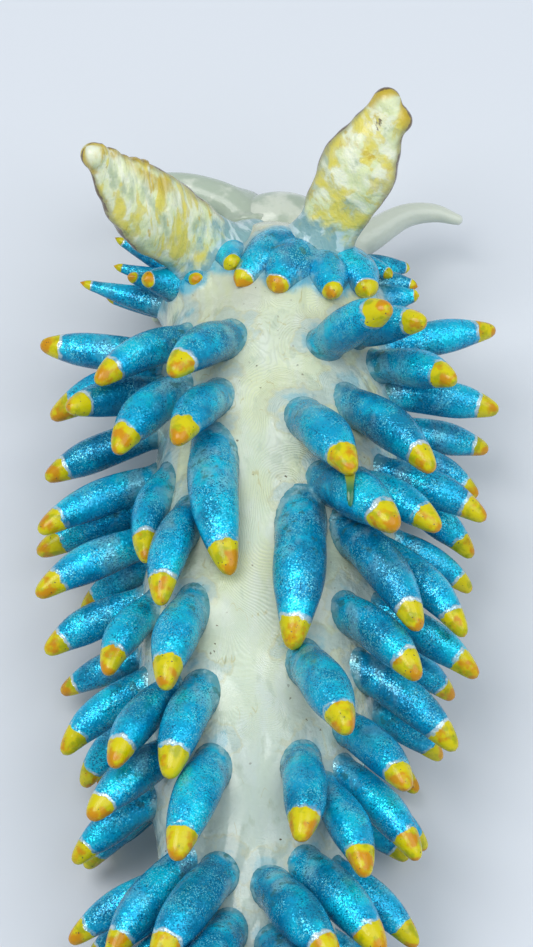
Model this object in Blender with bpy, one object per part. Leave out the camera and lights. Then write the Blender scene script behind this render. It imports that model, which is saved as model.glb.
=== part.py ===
"""A display model of a berghia nudibranch, printed in clear resin and painted by hand.

The slug rests on its flat sole. +Y runs to the head, +X to its right side and +Z up, and the
origin is in the sole, half way along the body. A place on the body is given as a station, the
distance back from the snout, and as an angle around the body from the ridge of the back.
"""
import math
import random
from dataclasses import dataclass

import bpy
import bmesh
import numpy as np
from mathutils import Vector

MM = 0.001
GAP = 0.3 * MM

# The body, from snout to tail: station, half width and height of the back, all in mm
BODY_PROFILE = (
    (0, 14, 21),
    (12, 18.5, 30),
    (24, 22, 36),
    (38, 24.5, 39),
    (60, 25, 40),
    (100, 25, 40),
    (125, 23, 38),
    (150, 19, 33.5),
    (175, 14.5, 26.5),
    (200, 10, 19.5),
    (225, 6.5, 13.5),
    (245, 4, 9),
    (262, 1.8, 5),
)
BODY_LENGTH = 265 * MM
HALF_LENGTH = BODY_LENGTH / 2
TAIL_END = 259 * MM
SNOUT_ROUND = 10 * MM
SNOUT_LIFT = 4 * MM
SNOUT_WIDTH = 0.45
SNOUT_HEIGHT = 0.35
SWAY = 2.5 * MM
SWAY_WAVE = 190 * MM
TAIL_CURL = 15 * MM
CURL_FROM = 130 * MM
WAIST_AT = 0.5
FLANK_PINCH = 0.24
FLANK_ROUND = 0.9
PINCH_POWER = 1.5
BELLY_DROP = 1.06
BODY_SIDES = 20
SKIN_STEP = 0.5 * MM
SKIN_TURN = 0.02
BODY_STEP = 9 * MM
SNOUT_START = 0.25
SNOUT_RINGS = 6
NECK_RINGS = 5

# Where the body is parted, as stations
NECK_CUT = 33.2 * MM
TRUNK_CUT = 148.6 * MM
TAIL_CUT = 206 * MM

# The foot, a leaf-shaped slab with the flat sole under it
FOOT_THICK = 2.4 * MM
FOOT_ENDS = (3 * MM, 264.5 * MM)
FOOT_ROUNDS = (12 * MM, 9 * MM)
FOOT_END_WIDTH = 0.2
FOOT_SHARE = 0.74
FOOT_LIP = 1.2 * MM
FOOT_EDGE_ROUND = 0.6
FOOT_FLATS = 1.4
FOOT_SIDES = 12
FOOT_RINGS = 34

# The cerata that show on the back and flanks, in clusters from the neck to the tail. Each is its
# root's station in mm and angle around the body, how far it is splayed from straight back, how
# steeply it rises, its length in mm and, where it is stouter than its neighbours, its half width
LEFT_CERATA = (
    (40, 20, 34, 29, 26), (37, 50, 46, 18, 27), (40, 78, 64, -8, 27), (37, 88, 99, -2, 27),
    (54, 28, 21, 30, 26), (49, 52, 29, 21, 29), (46, 80, 54, 33, 28), (53, 92, 66, -8, 27),
    (64, 32, -3, 2, 38, 5), (68, 66, 4, 18, 28), (66, 84, 58, 4, 29), (68, 100, 66, -10, 29),
    (80, 42, 6, 14, 29), (82, 74, 56, 4, 29), (79, 92, 66, -10, 22), (80, 108, 64, -30, 22),
    (102, 34, 11, 19, 28), (98, 66, 22, 15, 24), (95, 84, 60, -8, 24), (104, 102, 68, -28, 21),
    (121, 26, 15, 13, 27), (120, 46, 23, 21, 28), (115, 70, 46, -10, 24), (120, 90, 46, -38, 21),
    (137, 20, 13, 15, 30), (133, 48, 40, 10, 25), (140, 72, 50, -14, 22), (138, 92, 50, -36, 21),
    (159, 18, 25, 18, 30), (155, 44, 30, 8, 30), (157, 72, 56, -12, 24), (160, 94, 58, -34, 21),
)
RIGHT_CERATA = (
    (44, 18, 76, 54, 25), (39, 34, 68, 38, 22), (38, 66, 104, -8, 25), (44, 54, 50, 34, 25),
    (49, 66, 80, -5, 24), (60, 9, 24, 28, 29), (55, 32, 36, 17, 31), (60, 78, 62, -18, 21),
    (54, 88, 84, -18, 21), (75, 21, 33, 20, 28), (69, 54, 62, -6, 26), (74, 40, 48, 10, 23),
    (70, 76, 52, -22, 23), (81, 13, -4, 4, 37, 5.9), (84, 34, 25, 12, 34), (86, 56, 36, 6, 31),
    (81, 82, 62, -26, 21), (103, 38, 36, 15, 27), (100, 60, 54, -10, 27), (106, 80, 60, -30, 20),
    (116, 20, 18, 30, 31), (114, 52, 47, -10, 28), (127, 50, 30, 22, 26), (120, 76, 60, -32, 20),
    (136, 26, -2, 22, 27), (136, 54, 32, 8, 28), (141, 42, 16, 20, 28), (139, 78, 60, -34, 20),
    (162, 8, 31, 23, 29), (157, 32, 32, 13, 29), (156, 60, 46, -12, 24),
)
# The short mounded cerata of the collar round the rhinophores, in the same terms
COLLAR_CERATA = (
    (24, -84, 105, 5, 21, 2.6), (22, -90, 104, 4, 18, 2.6), (22, -98, 104, -2, 16, 2.4),
    (18, -80, 104, 8, 15, 2.4), (15, -78, 115, 13, 17, 2.3), (16, -92, 107, 2, 13, 2.2),
    (20, -76, 84, 32, 13, 3), (22, -62, 70, 50, 13, 4), (23, -48, 0, 61, 7, 3.8),
    (18, -26, 2, 50, 10, 4.6), (16, 6, -36, 20, 18.5, 6.2), (20, 12, -22, 26, 15.5, 6),
    (22, 26, 8, 30, 15, 5.4), (18, 44, 24, 28, 16, 5.8), (13, 66, 51, 22, 12, 3.2),
    (13, 78, 106, -22, 13, 3), (17, 78, 78, 6, 12, 3), (23, 78, 94, 4, 10, 3.2),
    (26, 104, 80, -16, 12, 2.6), (12, 96, 100, -10, 11, 2.4), (12, -100, 100, -8, 11, 2.4),
)
# Low cerata under the clusters, and the clusters that run on down the tail
LOW_STATIONS = (58, 72, 104, 120, 135, 163)
LOW_AROUND, LOW_SPLAY, LOW_RISE, LOW_LENGTH = 116, 50, -16, 18
TAIL_STATIONS = (172, 185, 196, 214, 225, 236)
TAIL_COUNTS = (4, 3, 3, 3, 2, 2)
TAIL_LENGTHS = (30, 10.5)
TAIL_AROUND = (14, 96)
TAIL_SPLAY = (20, 44)
TAIL_RISE = (26, -4)
TAIL_STAGGER = 3
TAIL_SHORTER = 0.2

# The shape of one ceras, and how it is set
INNER_GIRTH, OUTER_GIRTH = 4.9 * MM, 4.0 * MM
INNER_AROUND, OUTER_AROUND = 20, 60
FULL_LENGTH = 28 * MM
LEAST_GIRTH = 0.35
GIRTH_VARIES = 0.06
CERAS_BOW = 0.16
CERAS_SINK = 3 * MM
CERAS_SIDES = 6
# share of the length, and share of the girth there, for a long ceras and for one of the collar
CERAS_SHAPE = ((0, 0.7), (0.2, 0.9), (0.42, 1), (0.6, 0.92), (0.745, 0.7), (0.9, 0.48), (1, 0))
MOUND_SHAPE = ((0, 1.15), (0.2, 1.1), (0.42, 0.9), (0.6, 0.69), (0.745, 0.51), (0.9, 0.34), (1, 0))
# how the cerata are bent clear: the room left round them, the rounds and step of the bending, the
# shares of the length that are looked at, the share near the root that may touch its neighbours, the
# share that may lie bedded on the skin, and the pull back to where the ceras was set
CERAS_CLEAR = 0.5 * MM
FLOOR_CLEAR = 2 * MM
SETTLE_ROUNDS = 160
SETTLE_STEP = 0.3
SPRING = 0.06
SPRING_ROUNDS = 110
SETTLE_SHARES = (0.12, 0.26, 0.4, 0.54, 0.66, 0.78, 0.89, 0.98)
ROOT_SHARE = 0.3
BED_SHARE = 0.7
BED_SINK = 0.5
SMALL = 1e-9
SEED = 8

# The rhinophores: station and angle of the root, and reach to the tip in mm. Their broad faces
# look back and up
RHINOPHORES = {"left": (17, -33, (-26.5, 5.5, 32)), "right": (17, 24, (16.8, 21, 27.5))}
BROAD_FACE = Vector((0, -0.48, 0.88))
# share of the length, and half width in mm
RHINOPHORE_SHAPE = {
    "left": (
        (-0.15, 6.8), (0.1, 7.4), (0.25, 8.1), (0.42, 8.6), (0.56, 8.3),
        (0.68, 7), (0.79, 5.3), (0.88, 3.6), (0.95, 2.8), (1, 2.2),
    ),
    "right": (
        (-0.15, 5.6), (0.1, 6.3), (0.25, 7), (0.4, 7.7), (0.52, 8.4),
        (0.65, 7.6), (0.77, 5.9), (0.87, 4.8), (0.95, 3.7), (1, 2.4),
    ),
}
# how far the middle line bows across, in mm
RHINOPHORE_BOW = {"left": -1.5, "right": 0.0}
RHINOPHORE_DEPTH = 0.68
RHINOPHORE_JOIN = 0.3
RHINOPHORE_SIDES = 14
RHINOPHORE_RINGS = 12
STUB_RINGS = 5
# the lobes at the tip: across, along from the tip, and radius, all in mm
KNOBS = {
    "left": ((-0.2, -1, 2.5), (2.6, -4.6, 1.6)),
    "right": ((-1.3, -1.2, 2.8), (3.3, -3.7, 2.4)),
}

# The oral tentacles: places along the middle line, across, ahead of the snout and up, and the
# half width there, all in mm
ORAL_TENTACLES = {
    "left": (
        (-1, -5, 15, 5), (-7, 3.2, 16, 4.8), (-14.5, 6.8, 17, 4.3),
        (-22, 8.6, 17, 3.5), (-29, 8.8, 16, 2.5), (-34.5, 7.5, 15, 1.4),
    ),
    "right": (
        (8, -12, 15, 4.3), (14.5, -7.5, 15, 4.2), (22, -3, 15, 3.6),
        (30, 2.4, 15, 2.7), (36.5, 3.7, 14.5, 2.1), (42, 2.3, 14, 1.2),
    ),
}
TENTACLE_JOIN = 0.3
TENTACLE_SPLIT = 0.64
TENTACLE_SIDES = 10
TENTACLE_RINGS = 6

# The drawn-out corners of the foot, on the right side, in the same terms
FOOT_CORNER = ((7, -13, 1.2, 1.0), (13, -11, 1.4, 1.2), (19, -11.5, 1.7, 1.3), (24.5, -15.5, 1.5, 0.8))
CORNER_JOIN = 0.52
CORNER_RINGS = 6
CORNER_SIDES = 8

# The muzzle in front of the head and a lip on each side under it: places across, ahead of the
# snout and up, in mm
MUZZLE = (3.5, 1.8, 13.2)
MUZZLE_RADIUS = 7 * MM
# how many times wider than high it is
MUZZLE_STRETCH = 1.45
LIP_PLACE = (2.3, 7, 8.5)
LIP_RADIUS = 2.4 * MM

# The step along a line, as a share of it, that gives its direction, and the places along a line
# where its length and its thickness are taken
NUDGE = 0.01
LINE_STEPS = 20
HORN_BALLS = 10

RESIN = (0.72, 0.77, 0.64, 1)
AMBER = (0.74, 0.68, 0.42, 1)
BLUE = (0.04, 0.36, 0.55, 1)
RESIN_ROUGHNESS = 0.25


def clear_scene():
    for obj in list(bpy.data.objects):
        bpy.data.objects.remove(obj)


def finish(name, colour):
    """A glossy painted resin."""
    made = bpy.data.materials.get(name)
    if made is None:
        made = bpy.data.materials.new(name)
        made.use_nodes = True
        shader = made.node_tree.nodes["Principled BSDF"]
        shader.inputs["Base Color"].default_value = colour
        shader.inputs["Roughness"].default_value = RESIN_ROUGHNESS
        shader.inputs["Metallic"].default_value = 0.0
    return made


def smooth_through(rows, at):
    """The value at a place on a smooth curve through rows of (place, value)."""
    last = len(rows) - 1
    k = next((i for i in range(last) if at <= rows[i + 1][0]), last - 1)
    before, start, end, after = (rows[min(max(i, 0), last)] for i in (k - 1, k, k + 1, k + 2))
    span = end[0] - start[0]
    share = (at - start[0]) / span
    leave = (end[1] - before[1]) / (end[0] - before[0]) * span
    arrive = (after[1] - start[1]) / (after[0] - start[0]) * span
    square = share ** 2
    cube = share ** 3
    return (
        (2 * cube - 3 * square + 1) * start[1] + (cube - 2 * square + share) * leave
        + (3 * square - 2 * cube) * end[1] + (cube - square) * arrive
    )


def body_size(station):
    """Half width and height of the body at a station."""
    widths = [(row[0] * MM, row[1] * MM) for row in BODY_PROFILE]
    heights = [(row[0] * MM, row[2] * MM) for row in BODY_PROFILE]
    return smooth_through(widths, station), smooth_through(heights, station)


def middle_x(station):
    """The body's middle line, which sways a little and curls to the left at the tail."""
    curl = max(0.0, station - CURL_FROM) / (BODY_LENGTH - CURL_FROM)
    return SWAY * math.sin(2 * math.pi * station / SWAY_WAVE) - TAIL_CURL * curl ** 2


def skin(station, angle):
    """A point of the body's surface, at an angle in radians from the ridge of the back."""
    fullness = 1.0
    if station < SNOUT_ROUND:
        fullness = math.sqrt(max(0.0, 1 - (1 - station / SNOUT_ROUND) ** 2))
    half_width, height = body_size(station)
    half_width *= SNOUT_WIDTH + (1 - SNOUT_WIDTH) * fullness
    waist = height * WAIST_AT
    over = math.cos(angle)
    side = math.sin(angle)
    x = half_width * math.copysign(abs(side) ** FLANK_ROUND, side)
    x *= 1 - FLANK_PINCH * max(0.0, -over) ** PINCH_POWER
    if over >= 0:
        z = waist + (height - waist) * (SNOUT_HEIGHT + (1 - SNOUT_HEIGHT) * fullness) * over
    else:
        z = waist * (1 + BELLY_DROP * over)
    lowest = FOOT_THICK + GAP + SNOUT_LIFT * (1 - fullness)
    return Vector((middle_x(station) + x, HALF_LENGTH - station, max(z, lowest)))


def skin_normal(station, angle):
    back = skin(station + SKIN_STEP, angle) - skin(station - SKIN_STEP, angle)
    around = skin(station, angle + SKIN_TURN) - skin(station, angle - SKIN_TURN)
    return back.cross(around).normalized()


def wrapped(shares, sides, place):
    """A closed body: a sheet rolled round, each of its points put at place(share, angle)."""
    bm = bmesh.new()
    rows = len(shares) - 1
    sheet = bmesh.ops.create_grid(bm, x_segments=rows, y_segments=sides, size=0.5)
    for vert in sheet["verts"]:
        row = round((vert.co.x + 0.5) * rows)
        column = round((vert.co.y + 0.5) * sides) % sides
        vert.co = place(shares[row], 2 * math.pi * column / sides)
    bmesh.ops.remove_doubles(bm, verts=bm.verts[:], dist=0.001 * MM)
    bmesh.ops.holes_fill(bm, edges=bm.edges[:], sides=sides)
    bmesh.ops.recalc_face_normals(bm, faces=bm.faces[:])
    bmesh.ops.triangulate(bm, faces=bm.faces[:])
    return bm


def add_object(name, bm, colour):
    mesh = bpy.data.meshes.new(name)
    bm.to_mesh(mesh)
    bm.free()
    mesh.shade_smooth()
    mesh.materials.append(colour)
    obj = bpy.data.objects.new(name, mesh)
    model.objects.link(obj)
    return obj


def body_length(name, start, end, colour):
    """One length of the body, between two stations."""
    if start < SNOUT_ROUND:
        turns = np.linspace(SNOUT_START, math.pi / 2, SNOUT_RINGS)
        stations = [SNOUT_ROUND * (1 - math.cos(turn)) for turn in turns]
        stations += list(np.linspace(SNOUT_ROUND, end, NECK_RINGS))[1:]
    else:
        stations = np.linspace(start, end, round((end - start) / BODY_STEP) + 1)
    return add_object(name, wrapped(stations, BODY_SIDES, skin), colour)


def line_at(places, share):
    """A point and the half width at a share of the way along a smooth line through places."""
    steps = len(places) - 1
    rows = [[(k / steps, place[part] * MM) for k, place in enumerate(places)] for part in range(4)]
    x, ahead, z, half_width = (smooth_through(row, share) for row in rows)
    return Vector((x, HALF_LENGTH + ahead, z)), half_width


def line_length(places):
    points = [line_at(places, share)[0] for share in np.linspace(0, 1, LINE_STEPS)]
    return sum((end - start).length for start, end in zip(points, points[1:]))


def tapering(name, places, start, end, rings, sides, colour):
    """A round tapering horn along part of a line through places."""
    def place(share, angle):
        middle, radius = line_at(places, share)
        along = line_at(places, share + NUDGE)[0] - line_at(places, share - NUDGE)[0]
        across = along.cross(Vector((0, 0, 1))).normalized()
        up = across.cross(along).normalized()
        return middle + (across * math.cos(angle) + up * math.sin(angle)) * radius

    return add_object(name, wrapped(np.linspace(start, end, rings), sides, place), colour)


@dataclass
class Ceras:
    node: str
    root: Vector
    normal: Vector
    heading: Vector
    length: float
    girth: float
    shape: tuple


def ceras_girth(around, length):
    """Cerata on the back are stouter than those on the flanks, and short ones are slimmer."""
    outward = (abs(around) - INNER_AROUND) / (OUTER_AROUND - INNER_AROUND)
    outward = min(max(outward, 0.0), 1.0)
    girth = INNER_GIRTH + (OUTER_GIRTH - INNER_GIRTH) * outward
    return girth * min(1.0, LEAST_GIRTH + (1 - LEAST_GIRTH) * length / FULL_LENGTH)


def node_at(station):
    """The length of the body that a station lies on."""
    ends = ((NECK_CUT, "head"), (TRUNK_CUT, "trunk_front"), (TAIL_CUT, "trunk_rear"), (BODY_LENGTH, "tail"))
    return next(name for end, name in ends if station < end)


def grow(draw, station, around, splay, rise, length, half_width=None):
    """One ceras with its root on the skin. An angle around below zero is on the left."""
    side = math.copysign(1.0, around)
    splay = math.radians(splay)
    rise = math.radians(rise)
    level = math.cos(rise)
    heading = Vector((side * math.sin(splay) * level, -math.cos(splay) * level, math.sin(rise)))
    length *= MM
    girth = half_width * MM if half_width else ceras_girth(around, length)
    girth *= 1 + draw.uniform(-GIRTH_VARIES, GIRTH_VARIES)
    shape = MOUND_SHAPE if station * MM < NECK_CUT else CERAS_SHAPE
    root = skin(station * MM, math.radians(around))
    normal = skin_normal(station * MM, math.radians(around))
    return Ceras(node_at(station * MM), root, normal, heading, length, girth, shape)


def all_cerata():
    """Every ceras of the slug, before it is bent clear of its neighbours."""
    draw = random.Random(SEED)
    rows = [(station, -around, *rest) for station, around, *rest in LEFT_CERATA]
    rows += RIGHT_CERATA
    rows += COLLAR_CERATA
    for side in (-1, 1):
        for station in LOW_STATIONS:
            rows.append((station + side, side * LOW_AROUND, LOW_SPLAY, LOW_RISE, LOW_LENGTH))
        last = len(TAIL_STATIONS) - 1
        for k, (station, count) in enumerate(zip(TAIL_STATIONS, TAIL_COUNTS)):
            length = TAIL_LENGTHS[0] + (TAIL_LENGTHS[1] - TAIL_LENGTHS[0]) * k / last
            for out in np.linspace(0, 1, count):
                ranges = (TAIL_AROUND, TAIL_SPLAY, TAIL_RISE)
                around, splay, rise = (inner + (outer - inner) * out for inner, outer in ranges)
                place = station + TAIL_STAGGER * side / 2 + draw.uniform(-1, 1)
                rows.append((place, side * around, splay, rise, length * (1 - TAIL_SHORTER * out)))
    return [grow(draw, *row) for row in rows]


def ceras_lines(roots, normals, headings, lengths, shares):
    """Points along the middle lines of many cerata, which leave the skin and bend to their tips."""
    t = np.asarray(shares)[None, :, None]
    start = (roots - normals * CERAS_SINK)[:, None]
    reach = lengths[:, None, None]
    bend = headings[:, None] * 0.5 + normals[:, None] * CERAS_BOW
    knee = roots[:, None] + bend * reach
    end = roots[:, None] + headings[:, None] * reach
    return (1 - t) ** 2 * start + 2 * t * (1 - t) * knee + t ** 2 * end


def skin_push(point, room):
    """How far a point has to move out to have room above the body, as a vector."""
    station = min(max(HALF_LENGTH - point[1], 0.0), TAIL_END)
    half_width, height = body_size(station)
    centre = Vector((middle_x(station), point[1], height * WAIST_AT))
    out = Vector(point) - centre
    angle = math.atan2(out.x / half_width, out.z / (height * WAIST_AT))
    wall = skin(station, angle) - centre
    wall.y = 0.0
    lack = wall.length + room - out.length
    return out.normalized() * max(0.0, lack)


def horn_balls():
    """Balls that fill the rhinophores and tentacles, for the collar to keep clear of."""
    balls = []
    for side in RHINOPHORES:
        for share in np.linspace(RHINOPHORE_JOIN, 1, HORN_BALLS):
            middle, half_width = rhinophore_at(side, share)
            balls.append((*middle, half_width))
    for places in ORAL_TENTACLES.values():
        for share in np.linspace(0, 1, HORN_BALLS):
            middle, radius = line_at(places, share)
            balls.append((*middle, radius))
    return np.array(balls)


def settle(cerata):
    """Bends the cerata clear of the body, the floor, the horns and each other."""
    roots = np.array([c.root for c in cerata])
    normals = np.array([c.normal for c in cerata])
    headings = np.array([c.heading for c in cerata])
    lengths = np.array([c.length for c in cerata])
    girths = np.array([c.girth for c in cerata])
    nodes = np.array([c.node for c in cerata])
    shares = np.array(SETTLE_SHARES)
    shapes = np.array([[smooth_through(c.shape, share) for share in shares] for c in cerata])
    radii = (girths[:, None] * shapes).ravel()
    owner = np.repeat(np.arange(len(cerata)), len(shares))
    near_root = np.tile(shares < ROOT_SHARE, len(cerata))
    bedded = np.tile(shares < BED_SHARE, len(cerata))
    own = owner[:, None] == owner[None, :]
    kin = nodes[owner][:, None] == nodes[owner][None, :]
    mound = nodes[owner] == "head"
    skipped = own | (mound[:, None] & mound[None, :]) | (kin & near_root[:, None] & near_root[None, :])
    horns = horn_balls()
    wanted = headings
    for turned in range(SETTLE_ROUNDS):
        points = ceras_lines(roots, normals, headings, lengths, shares).reshape(-1, 3)
        apart = points[:, None] - points[None, :]
        distance = np.linalg.norm(apart, axis=2) + SMALL
        lack = radii[:, None] + radii[None, :] + CERAS_CLEAR - distance
        lack = np.where(skipped | (lack < 0), 0.0, lack)
        push = (apart / distance[..., None] * lack[..., None]).sum(axis=1) / 2
        apart = points[:, None] - horns[None, :, :3]
        distance = np.linalg.norm(apart, axis=2)
        lack = np.maximum(0.0, radii[:, None] + horns[None, :, 3] + CERAS_CLEAR - distance)
        push += (apart / distance[..., None] * lack[..., None]).sum(axis=1)
        for k, point in enumerate(points):
            ahead = node_at(min(max(HALF_LENGTH - point[1] - radii[k], 0.0), TAIL_END))
            behind = node_at(min(max(HALF_LENGTH - point[1] + radii[k], 0.0), TAIL_END))
            at_home = ahead == behind == cerata[owner[k]].node
            if not at_home:
                push[k] += skin_push(point, radii[k] + CERAS_CLEAR)
            elif not (near_root[k] or mound[k]):
                push[k] += skin_push(point, radii[k] * (BED_SINK if bedded[k] else 1))
            push[k, 2] += max(0.0, FLOOR_CLEAR + radii[k] - point[2])
        turn = (push.reshape(len(cerata), -1, 3) * shares[None, :, None]).sum(axis=1)
        spring = SPRING * max(0.0, 1 - turned / SPRING_ROUNDS)
        headings = headings + SETTLE_STEP * turn / lengths[:, None] + spring * (wanted - headings)
        headings /= np.linalg.norm(headings, axis=1)[:, None]
    for ceras, heading in zip(cerata, headings):
        ceras.heading = Vector(heading)


def ceras_body(ceras, colour):
    """One ceras as a closed body, its root sunk in the skin."""
    def line(share):
        arrays = (np.array([value]) for value in (ceras.root, ceras.normal, ceras.heading))
        return Vector(ceras_lines(*arrays, np.array([ceras.length]), [share])[0, 0])

    def place(share, angle):
        along = (line(share + NUDGE) - line(share - NUDGE)).normalized()
        across = along.cross(ceras.normal.cross(ceras.heading)).normalized()
        up = across.cross(along)
        radius = smooth_through(ceras.shape, share) * ceras.girth
        return line(share) + (across * math.cos(angle) + up * math.sin(angle)) * radius

    shares = [share for share, _ in ceras.shape]
    return add_object("ceras", wrapped(shares, CERAS_SIDES, place), colour)


def rhinophore_at(side, share):
    """A point of a rhinophore's middle line, and its half width there."""
    station, around, reach = RHINOPHORES[side]
    root = skin(station * MM, math.radians(around))
    half_width = smooth_through(RHINOPHORE_SHAPE[side], share) * MM
    bow = rhinophore_axes(side)[1] * RHINOPHORE_BOW[side] * MM * math.sin(math.pi * share)
    return root + Vector(reach) * MM * share + bow, half_width


def rhinophore_axes(side):
    """Along a rhinophore, across its broad face, and through it."""
    along = Vector(RHINOPHORES[side][2]).normalized()
    across = along.cross(BROAD_FACE).normalized()
    return along, across, across.cross(along)


def rhinophore(name, side, start, end, rings, colour):
    """Part of a rhinophore, flattened from front to back."""
    _, across, deep = rhinophore_axes(side)

    def place(share, angle):
        middle, half_width = rhinophore_at(side, share)
        turned = across * math.cos(angle) + deep * math.sin(angle) * RHINOPHORE_DEPTH
        return middle + turned * half_width

    return add_object(name, wrapped(np.linspace(start, end, rings), RHINOPHORE_SIDES, place), colour)


def ball(name, centre, radius, subdivisions, colour, stretch=1.0):
    bm = bmesh.new()
    bmesh.ops.create_icosphere(bm, subdivisions=subdivisions, radius=radius)
    bmesh.ops.scale(bm, verts=bm.verts[:], vec=(stretch, 1, 1))
    bmesh.ops.translate(bm, verts=bm.verts[:], vec=centre)
    return add_object(name, bm, colour)


def knobs(side, colour):
    """The lobes at a rhinophore's tip."""
    along, across, _ = rhinophore_axes(side)
    tip = rhinophore_at(side, 1.0)[0]
    places = [(tip + (across * out + along * up) * MM, radius) for out, up, radius in KNOBS[side]]
    return [ball("knob", centre, radius * MM, 1, colour) for centre, radius in places]


def fuse(obj, pieces):
    """Joins pieces to obj by one union, and keeps the largest closed surface."""
    joined = bpy.data.collections.new(obj.name + "_pieces")
    bpy.context.scene.collection.children.link(joined)
    for piece in pieces:
        model.objects.unlink(piece)
        joined.objects.link(piece)
    union = obj.modifiers.new("union", "BOOLEAN")
    union.operation = "UNION"
    union.operand_type = "COLLECTION"
    union.collection = joined
    union.solver = "EXACT"
    union.material_mode = "TRANSFER"
    bpy.context.view_layer.update()
    graph = bpy.context.evaluated_depsgraph_get()
    mesh = bpy.data.meshes.new_from_object(obj.evaluated_get(graph))
    obj.modifiers.clear()
    obj.data = mesh
    for piece in list(joined.objects):
        bpy.data.objects.remove(piece)
    bpy.data.collections.remove(joined)
    keep_largest(mesh)


def shells_of(bm):
    """The separate closed surfaces of a mesh, each as a set of faces."""
    unseen = set(bm.faces)
    while unseen:
        reached = [unseen.pop()]
        shell = set(reached)
        while reached:
            face = reached.pop()
            for edge in face.edges:
                for other in edge.link_faces:
                    if other in unseen:
                        unseen.remove(other)
                        shell.add(other)
                        reached.append(other)
        yield shell


def shell_volume(shell):
    corners = ([vert.co for vert in face.verts] for face in shell)
    return sum(a.dot(b.cross(c)) for a, b, c in corners) / 6


def keep_largest(mesh):
    bm = bmesh.new()
    bm.from_mesh(mesh)
    bmesh.ops.triangulate(bm, faces=bm.faces[:])
    shells = sorted(shells_of(bm), key=shell_volume)
    dropped = [face for shell in shells[:-1] for face in shell]
    if dropped:
        bmesh.ops.delete(bm, geom=dropped, context="FACES")
    bm.to_mesh(mesh)
    bm.free()


def foot(colour):
    """The sole's slab, rounded along its edge, following the body from snout to tail."""
    def place(station, angle):
        front = min(1.0, (station - FOOT_ENDS[0]) / FOOT_ROUNDS[0])
        back = min(1.0, (FOOT_ENDS[1] - station) / FOOT_ROUNDS[1])
        fullness = math.sqrt(max(0.0, 1 - (1 - front) ** 2)) * math.sqrt(max(0.0, back))
        half_width = body_size(min(station, TAIL_END))[0] * FOOT_SHARE + FOOT_LIP
        half_width *= FOOT_END_WIDTH + (1 - FOOT_END_WIDTH) * fullness
        side = math.cos(angle)
        x = half_width * math.copysign(abs(side) ** FOOT_EDGE_ROUND, side)
        z = FOOT_THICK / 2 * (1 + FOOT_FLATS * math.sin(angle))
        return Vector((middle_x(station) + x, HALF_LENGTH - station, min(max(z, 0.0), FOOT_THICK)))

    middle, reach = sum(FOOT_ENDS) / 2, (FOOT_ENDS[1] - FOOT_ENDS[0]) / 2
    stations = [middle - reach * math.cos(turn) for turn in np.linspace(0, math.pi, FOOT_RINGS)]
    return add_object("foot", wrapped(stations, FOOT_SIDES, place), colour)


def muzzle(colour):
    """The muzzle and its two lips, fused to the head."""
    snout = Vector((0, HALF_LENGTH, 0))
    pieces = [ball("muzzle", snout + Vector(MUZZLE) * MM, MUZZLE_RADIUS, 2, colour, MUZZLE_STRETCH)]
    spread, ahead, up = LIP_PLACE
    for side in (-1, 1):
        place = Vector((MUZZLE[0] + side * spread, ahead, up)) * MM
        pieces.append(ball("lip", snout + place, LIP_RADIUS, 2, colour))
    return pieces


clear_scene()
model = bpy.data.collections.new("berghia_nudibranch")
bpy.context.scene.collection.children.link(model)
resin = finish("resin", RESIN)
amber = finish("amber", AMBER)
blue = finish("blue", BLUE)

ends = {
    "head": (0, NECK_CUT),
    "trunk_front": (NECK_CUT, TRUNK_CUT),
    "trunk_rear": (TRUNK_CUT, TAIL_CUT),
    "tail": (TAIL_CUT, TAIL_END),
}
lengths = {}
for name, (start, end) in ends.items():
    lengths[name] = body_length(name, start + GAP / 2, end - GAP / 2, resin)
grown = {name: [] for name in lengths}
grown["head"] += muzzle(resin)

for side in RHINOPHORES:
    half_gap = GAP / (Vector(RHINOPHORES[side][2]).length * MM) / 2
    stub_end = RHINOPHORE_JOIN - half_gap
    start = RHINOPHORE_JOIN + half_gap
    first = RHINOPHORE_SHAPE[side][0][0]
    grown["head"].append(rhinophore("stub", side, first, stub_end, STUB_RINGS, resin))
    horn = rhinophore("rhinophore_" + side, side, start, 1.0, RHINOPHORE_RINGS, amber)
    fuse(horn, knobs(side, amber))

for side, places in ORAL_TENTACLES.items():
    half_gap = GAP / line_length(places) / 2
    name = "oral_tentacle_" + side
    size = (TENTACLE_RINGS, TENTACLE_SIDES, resin)
    grown["head"].append(tapering("stub", places, 0.0, TENTACLE_JOIN - half_gap, *size))
    tapering(name + "_root", places, TENTACLE_JOIN + half_gap, TENTACLE_SPLIT - half_gap, *size)
    tapering(name + "_tip", places, TENTACLE_SPLIT + half_gap, 1.0, *size)

corner_stubs = []
for side, sign in (("left", -1), ("right", 1)):
    places = [(sign * x, ahead, z, radius) for x, ahead, z, radius in FOOT_CORNER]
    half_gap = GAP / line_length(places) / 2
    size = (CORNER_RINGS, CORNER_SIDES, resin)
    corner_stubs.append(tapering("stub", places, 0.0, CORNER_JOIN - half_gap, *size))
    tapering("foot_corner_" + side, places, CORNER_JOIN + half_gap, 1.0, *size)
fuse(foot(resin), corner_stubs)

cerata = all_cerata()
settle(cerata)
for ceras in cerata:
    grown[ceras.node].append(ceras_body(ceras, blue))
for name, body in lengths.items():
    fuse(body, grown[name])
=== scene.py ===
"""A display model of a berghia nudibranch, printed in clear resin and painted by hand."""
import math
import random

import bpy
import bmesh
import numpy as np
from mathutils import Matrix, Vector, noise


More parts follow.
